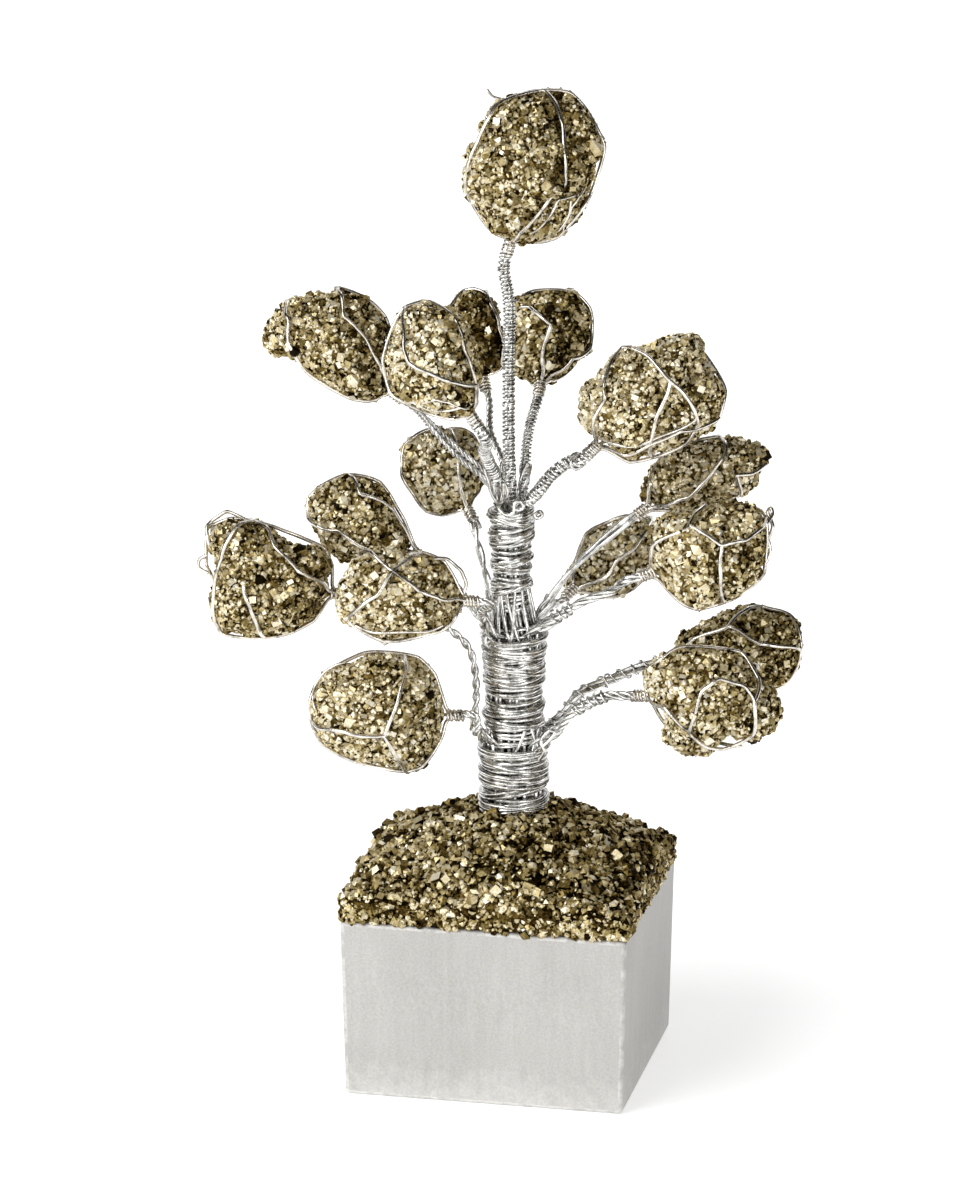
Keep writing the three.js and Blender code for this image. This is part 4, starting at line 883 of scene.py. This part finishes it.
def make_stem(branch_name, branch, ends, seed):
    rng = random.Random(500 + seed)
    route, side = stem_route(branch, *ends)
    length = sum((b - a).length for a, b in zip(route, route[1:]))
    strands, wires, pitch, thickness, binding = branch["stem"]
    touching = 0.52 * thickness / sin(pi / wires)  # radius at which the wires just touch
    turn = rng.uniform(0, 6.28)
    if strands == 1:
        laid = laid_up(route, side, wires, touching, pitch, 1.5 * thickness, (4.0, 13.0), turn)
    else:
        apart = touching + thickness / 2
        laid = []
        for strand in laid_up(route, side, strands, apart, 70.0, 2.3 * thickness, (4.0, 14.0), turn):
            laid += laid_up(strand, side, wires, touching, pitch, 1.1 * thickness, (4.0, 12.0), turn)
    runs = [(wire, thickness) for wire in laid]
    root = route[:26]  # the finer wires let into the foot of the stem
    for wire in laid_up(root, side, 4, 0.95, 16.0, 1.25, (2.5, 10.0), turn + 0.6):
        runs.append((wire, FINE_WIRE))
    if binding:
        radius, start, end, coil_pitch, binding_wire = binding
        coil = bound_round(route, side, radius, start * length, end * length, coil_pitch, rng)
        runs.append((coil, binding_wire))
    name = f"stem_{branch_name}"
    wire_piece(f"wire_{name}", runs, TREE, STEM_SILVER, name)


# ---- trunk


def on_profile(profile, z):
    """Radius at a height, along a profile of (height, radius)."""
    for (z0, r0), (z1, r1) in zip(profile, profile[1:]):
        if z <= z1:
            return r0 + (r1 - r0) * max(0.0, (z - z0) / (z1 - z0))
    return profile[-1][1]


def turns_of_wire(rng, profile, start, end, count, tilt, lift):
    """Turns laid on a wrap's profile, a little uneven and, for the ones that cross over it, tilted."""
    steps = 22
    drift = rng.uniform(0, 100)
    first = rng.uniform(0, 2 * pi)
    total = round(count * steps)
    points = []
    for i in range(total + 1):
        angle = first + 2 * pi * i / steps
        z = start + (end - start) * i / total
        z += 1.0 * noise.noise(Vector((drift, 0.1 * i, tilt))) + tilt * cos(angle)
        r = on_profile(profile, z) - WIRE / 2 + lift + 0.4 * noise.noise(Vector((0.13 * i, drift, tilt)))
        points.append(Vector((r * cos(angle), r * sin(angle), z)))
    return points


def make_wrap(name, rng):
    profile, pitch, shift, loose_ends = WRAPS[name]
    bottom, top = profile[0][0], profile[-1][0]
    runs = [turns_of_wire(rng, profile, bottom + 0.4, top - 0.4, (top - bottom) / pitch, 0.0, 0.0)]
    for _ in range(round((top - bottom) / 1.7)):
        start = rng.uniform(bottom + 1.2, top - 3.2)
        tilt = rng.choice((-1, 1)) * rng.uniform(0.3, 1.3)
        end = start + rng.uniform(0.8, 2.2)
        over = turns_of_wire(rng, profile, start, end, rng.uniform(0.7, 2.2), tilt, 0.5)
        for i in range(5):  # its ends dive in under the other turns
            for place in (i, len(over) - 1 - i):
                over[place].xy *= 1 - (5 - i) * 0.03
        runs.append(over)
    runs.append(turns_of_wire(rng, profile, top - 0.9, top - 0.2, 2.3, 0.25, 0.35))
    for loop in loose_ends:
        runs.append(smooth_route([Vector((x, y, z + top)) for x, y, z in loop], 0.4))
    place = TREE @ Matrix.Translation((shift, 0, 0))
    wire_piece(f"wire_{name}", [(run, WIRE) for run in runs], place, WRAP_SILVER, name)


def trunk_shift(z):
    return UPPER_SHIFT * eased(z, *UPPER_BEND)


def gathered_wires(rng):
    """The wires inside the wraps, which show between the turns."""
    runs = []
    for n in range(BUNDLE_WIRES):
        angle = 2 * pi * (n + rng.uniform(-0.3, 0.3)) / BUNDLE_WIRES
        points = []
        for z, r in BUNDLE:
            a = angle + 0.12 * sin(z * 0.12 + n)
            r += rng.uniform(-0.15, 0.15)
            points.append(Vector((trunk_shift(z) + r * cos(a), r * sin(a), z)))
        runs.append(smooth_route(points, 1.5))
    return runs


def bare_stretches(rng):
    """The stems' tails that cross a bare stretch of the trunk, and the wire slung round them."""
    runs = []
    for foot, top, out, into, count in TAILS:
        for n in range(count):
            angle = 2 * pi * (n + rng.uniform(-0.4, 0.4)) / count
            swing = rng.uniform(-0.7, 0.7)
            points = []
            for share in (0.0, 0.2, 0.5, 0.8, 1.0):
                r = out + (into - out) * share + rng.uniform(-0.15, 0.25)
                z = foot + (top - foot) * share
                a = angle + swing * share
                points.append(Vector((trunk_shift(z) + r * cos(a), r * sin(a), z)))
            runs.append(smooth_route(points, 0.8))
    for foot, top, reach, turns in SLUNG:
        shift = Vector((trunk_shift(foot), 0, 0))
        radius = reach + WIRE / 2
        turned = turns_of_wire(rng, [(foot, radius), (top, radius)], foot, top, turns, 0.35, 0.0)
        runs.append([point + shift for point in turned])
    return runs


def make_trunk():
    rng = random.Random(41)
    for name in WRAPS:
        make_wrap(name, rng)
    runs = gathered_wires(rng) + bare_stretches(rng)
    wire_piece("wire_trunk_bundle", [(run, FINE_WIRE) for run in runs], TREE, STEM_SILVER)
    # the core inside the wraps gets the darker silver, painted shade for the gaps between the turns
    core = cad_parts["trunk_bundle"]
    core.data.materials.clear()
    core.data.materials.append(CORE_SILVER_PAINTED_SHADE)


# ---- block


def make_block():
    low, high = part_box("base_block")
    low, high = Vector(low), Vector(high)
    block = bmesh.new()
    bmesh.ops.create_cube(block, size=1.0)
    size, middle = high - low, (high + low) / 2
    bmesh.ops.scale(block, vec=size, verts=block.verts[:])
    bmesh.ops.translate(block, vec=middle, verts=block.verts[:])
    for vert in block.verts:
        if vert.co.z < middle.z:
            vert.co.x -= copysign(BLOCK_DRAFT * MM, vert.co.x)
            vert.co.y -= copysign(BLOCK_DRAFT * MM, vert.co.y)
    rounded = bmesh.ops.bevel(block, geom=block.edges[:], offset=BLOCK_ROUNDING * MM, offset_type="OFFSET",
                              segments=4, profile=0.5, affect="EDGES", material=-1)
    on_edge = set(rounded["faces"])
    edges = [float(face in on_edge) for face in block.faces]
    mesh = bpy.data.meshes.new("silver_block")
    block.to_mesh(mesh)
    block.free()
    mesh.attributes.new("edge", "FLOAT", "FACE").data.foreach_set("value", edges)
    mesh.shade_smooth()
    mesh.set_sharp_from_angle(angle=radians(40))
    add_piece("cast_block", mesh, CAST_SILVER, "block", "base_block")


# ---- studio


def white_for_camera(tree, plain, white):
    """Mixes a shader with plain white where it is seen directly, in a reflection or through glass."""
    rays = put(tree, "ShaderNodeLightPath").outputs
    seen = sums(tree, "MAXIMUM", rays["Is Camera Ray"], rays["Is Glossy Ray"])
    seen = sums(tree, "MAXIMUM", seen, rays["Is Transmission Ray"])
    mix = put(tree, "ShaderNodeMixShader", {"Fac": seen})
    tree.links.new(plain, mix.inputs[1])
    tree.links.new(white, mix.inputs[2])
    return mix.outputs["Shader"]


def make_room():
    """An even white room. In a reflection it is two upright white sheets, in front and behind, with dark
    gaps between them and a dim ceiling."""
    world = bpy.data.worlds.new("pale_room")
    bpy.context.scene.world = world
    world.use_nodes = True
    tree = world.node_tree
    tree.nodes.clear()
    room = put(tree, "ShaderNodeBackground", {"Color": WHITE, "Strength": ROOM_LIGHT})
    place = put(tree, "ShaderNodeTexCoord").outputs["Generated"]
    toward = put(tree, "ShaderNodeSeparateXYZ", {"Vector": place}).outputs
    around = sums(tree, "ARCTAN2", toward["X"], sums(tree, "MULTIPLY", toward["Y"], -1.0))
    from_front = sums(tree, "SUBTRACT", around, 0.2)
    ahead_or_behind = sums(tree, "COSINE", sums(tree, "MULTIPLY", from_front, 2.0))
    sheets = remap(tree, ahead_or_behind, -0.1, 0.5, 0.02, 1.0)
    below_ceiling = remap(tree, toward["Z"], 0.3, 0.6, 1.0, 0.15)
    mirrored = sums(tree, "MULTIPLY", sheets, below_ceiling)
    glossy = put(tree, "ShaderNodeLightPath").outputs["Is Glossy Ray"]
    strength = sums(tree, "MULTIPLY_ADD", glossy, sums(tree, "SUBTRACT", mirrored, 1.0), 1.0)
    seen = put(tree, "ShaderNodeBackground", {"Color": WHITE, "Strength": strength})
    result = put(tree, "ShaderNodeOutputWorld")
    tree.links.new(white_for_camera(tree, room.outputs[0], seen.outputs[0]), result.inputs["Surface"])


def make_floor():
    """A white sheet that keeps the shadow of the block, and fades into the white of the room."""
    ground = bmesh.new()
    bmesh.ops.create_circle(ground, cap_ends=True, segments=96, radius=1.6)
    mesh = bpy.data.meshes.new("floor")
    ground.to_mesh(mesh)
    ground.free()
    floor = add_object("floor", mesh)
    sheet, tree, shader = new_material("white_sheet")
    shader.inputs["Base Color"].default_value = (0.8, 0.8, 0.8, 1)
    shader.inputs["Roughness"].default_value = 0.9
    shader.inputs["Specular IOR Level"].default_value = 0.0
    place = put(tree, "ShaderNodeTexCoord").outputs["Object"]
    away = put(tree, "ShaderNodeVectorMath", {"Vector": place}, operation="LENGTH").outputs["Value"]
    brightness = remap(tree, away, 0.03, 0.18, 0.48, 0.75, interpolation_type="SMOOTHSTEP")
    glow = put(tree, "ShaderNodeEmission", {"Strength": brightness})
    both = put(tree, "ShaderNodeAddShader")
    tree.links.new(shader.outputs[0], both.inputs[0])
    tree.links.new(glow.outputs[0], both.inputs[1])
    surface = white_for_camera(tree, shader.outputs[0], both.outputs[0])
    tree.links.new(surface, tree.nodes["Material Output"].inputs["Surface"])
    mesh.materials.append(sheet)


def make_lamp(name, place, size, power):
    light = bpy.data.lights.new(name, "AREA")
    light.shape = "DISK"
    light.size = size
    light.energy = power
    lamp = add_object(name, light)
    lamp.location = place
    aim = Vector(LIGHT_AIM) - Vector(place)
    lamp.rotation_euler = aim.to_track_quat("-Z", "Y").to_euler()


def make_camera():
    eye = bpy.data.cameras.new("eye")
    eye.lens = 195.0
    eye.sensor_width = 36.0
    eye.sensor_fit = "AUTO"
    eye.clip_start = 0.05
    camera = add_object("eye", eye)
    camera.location = (0.2625, -1.2529, 0.4856)
    camera.rotation_euler = (radians(90 - CAMERA_DIP), 0, radians(CAMERA_TURN))
    bpy.context.scene.camera = camera
    bpy.context.scene.view_settings.view_transform = "Standard"


# ---- the tree


make_room()
make_floor()
make_lamp("key", (-0.95, -1.0, 0.9), 1.5, 22.0)
make_lamp("fill", (0.95, -0.9, 0.5), 0.6, 3.4)
make_lamp("rim", (0.0, 1.1, 1.1), 0.6, 2.0)
make_camera()
make_block()
make_mound()
make_trunk()
for seed, (branch_name, branch) in enumerate(BRANCHES.items()):
    make_nugget(branch_name, branch, seed)
    ends = make_cage(branch_name, branch, seed)
    make_stem(branch_name, branch, ends, seed)
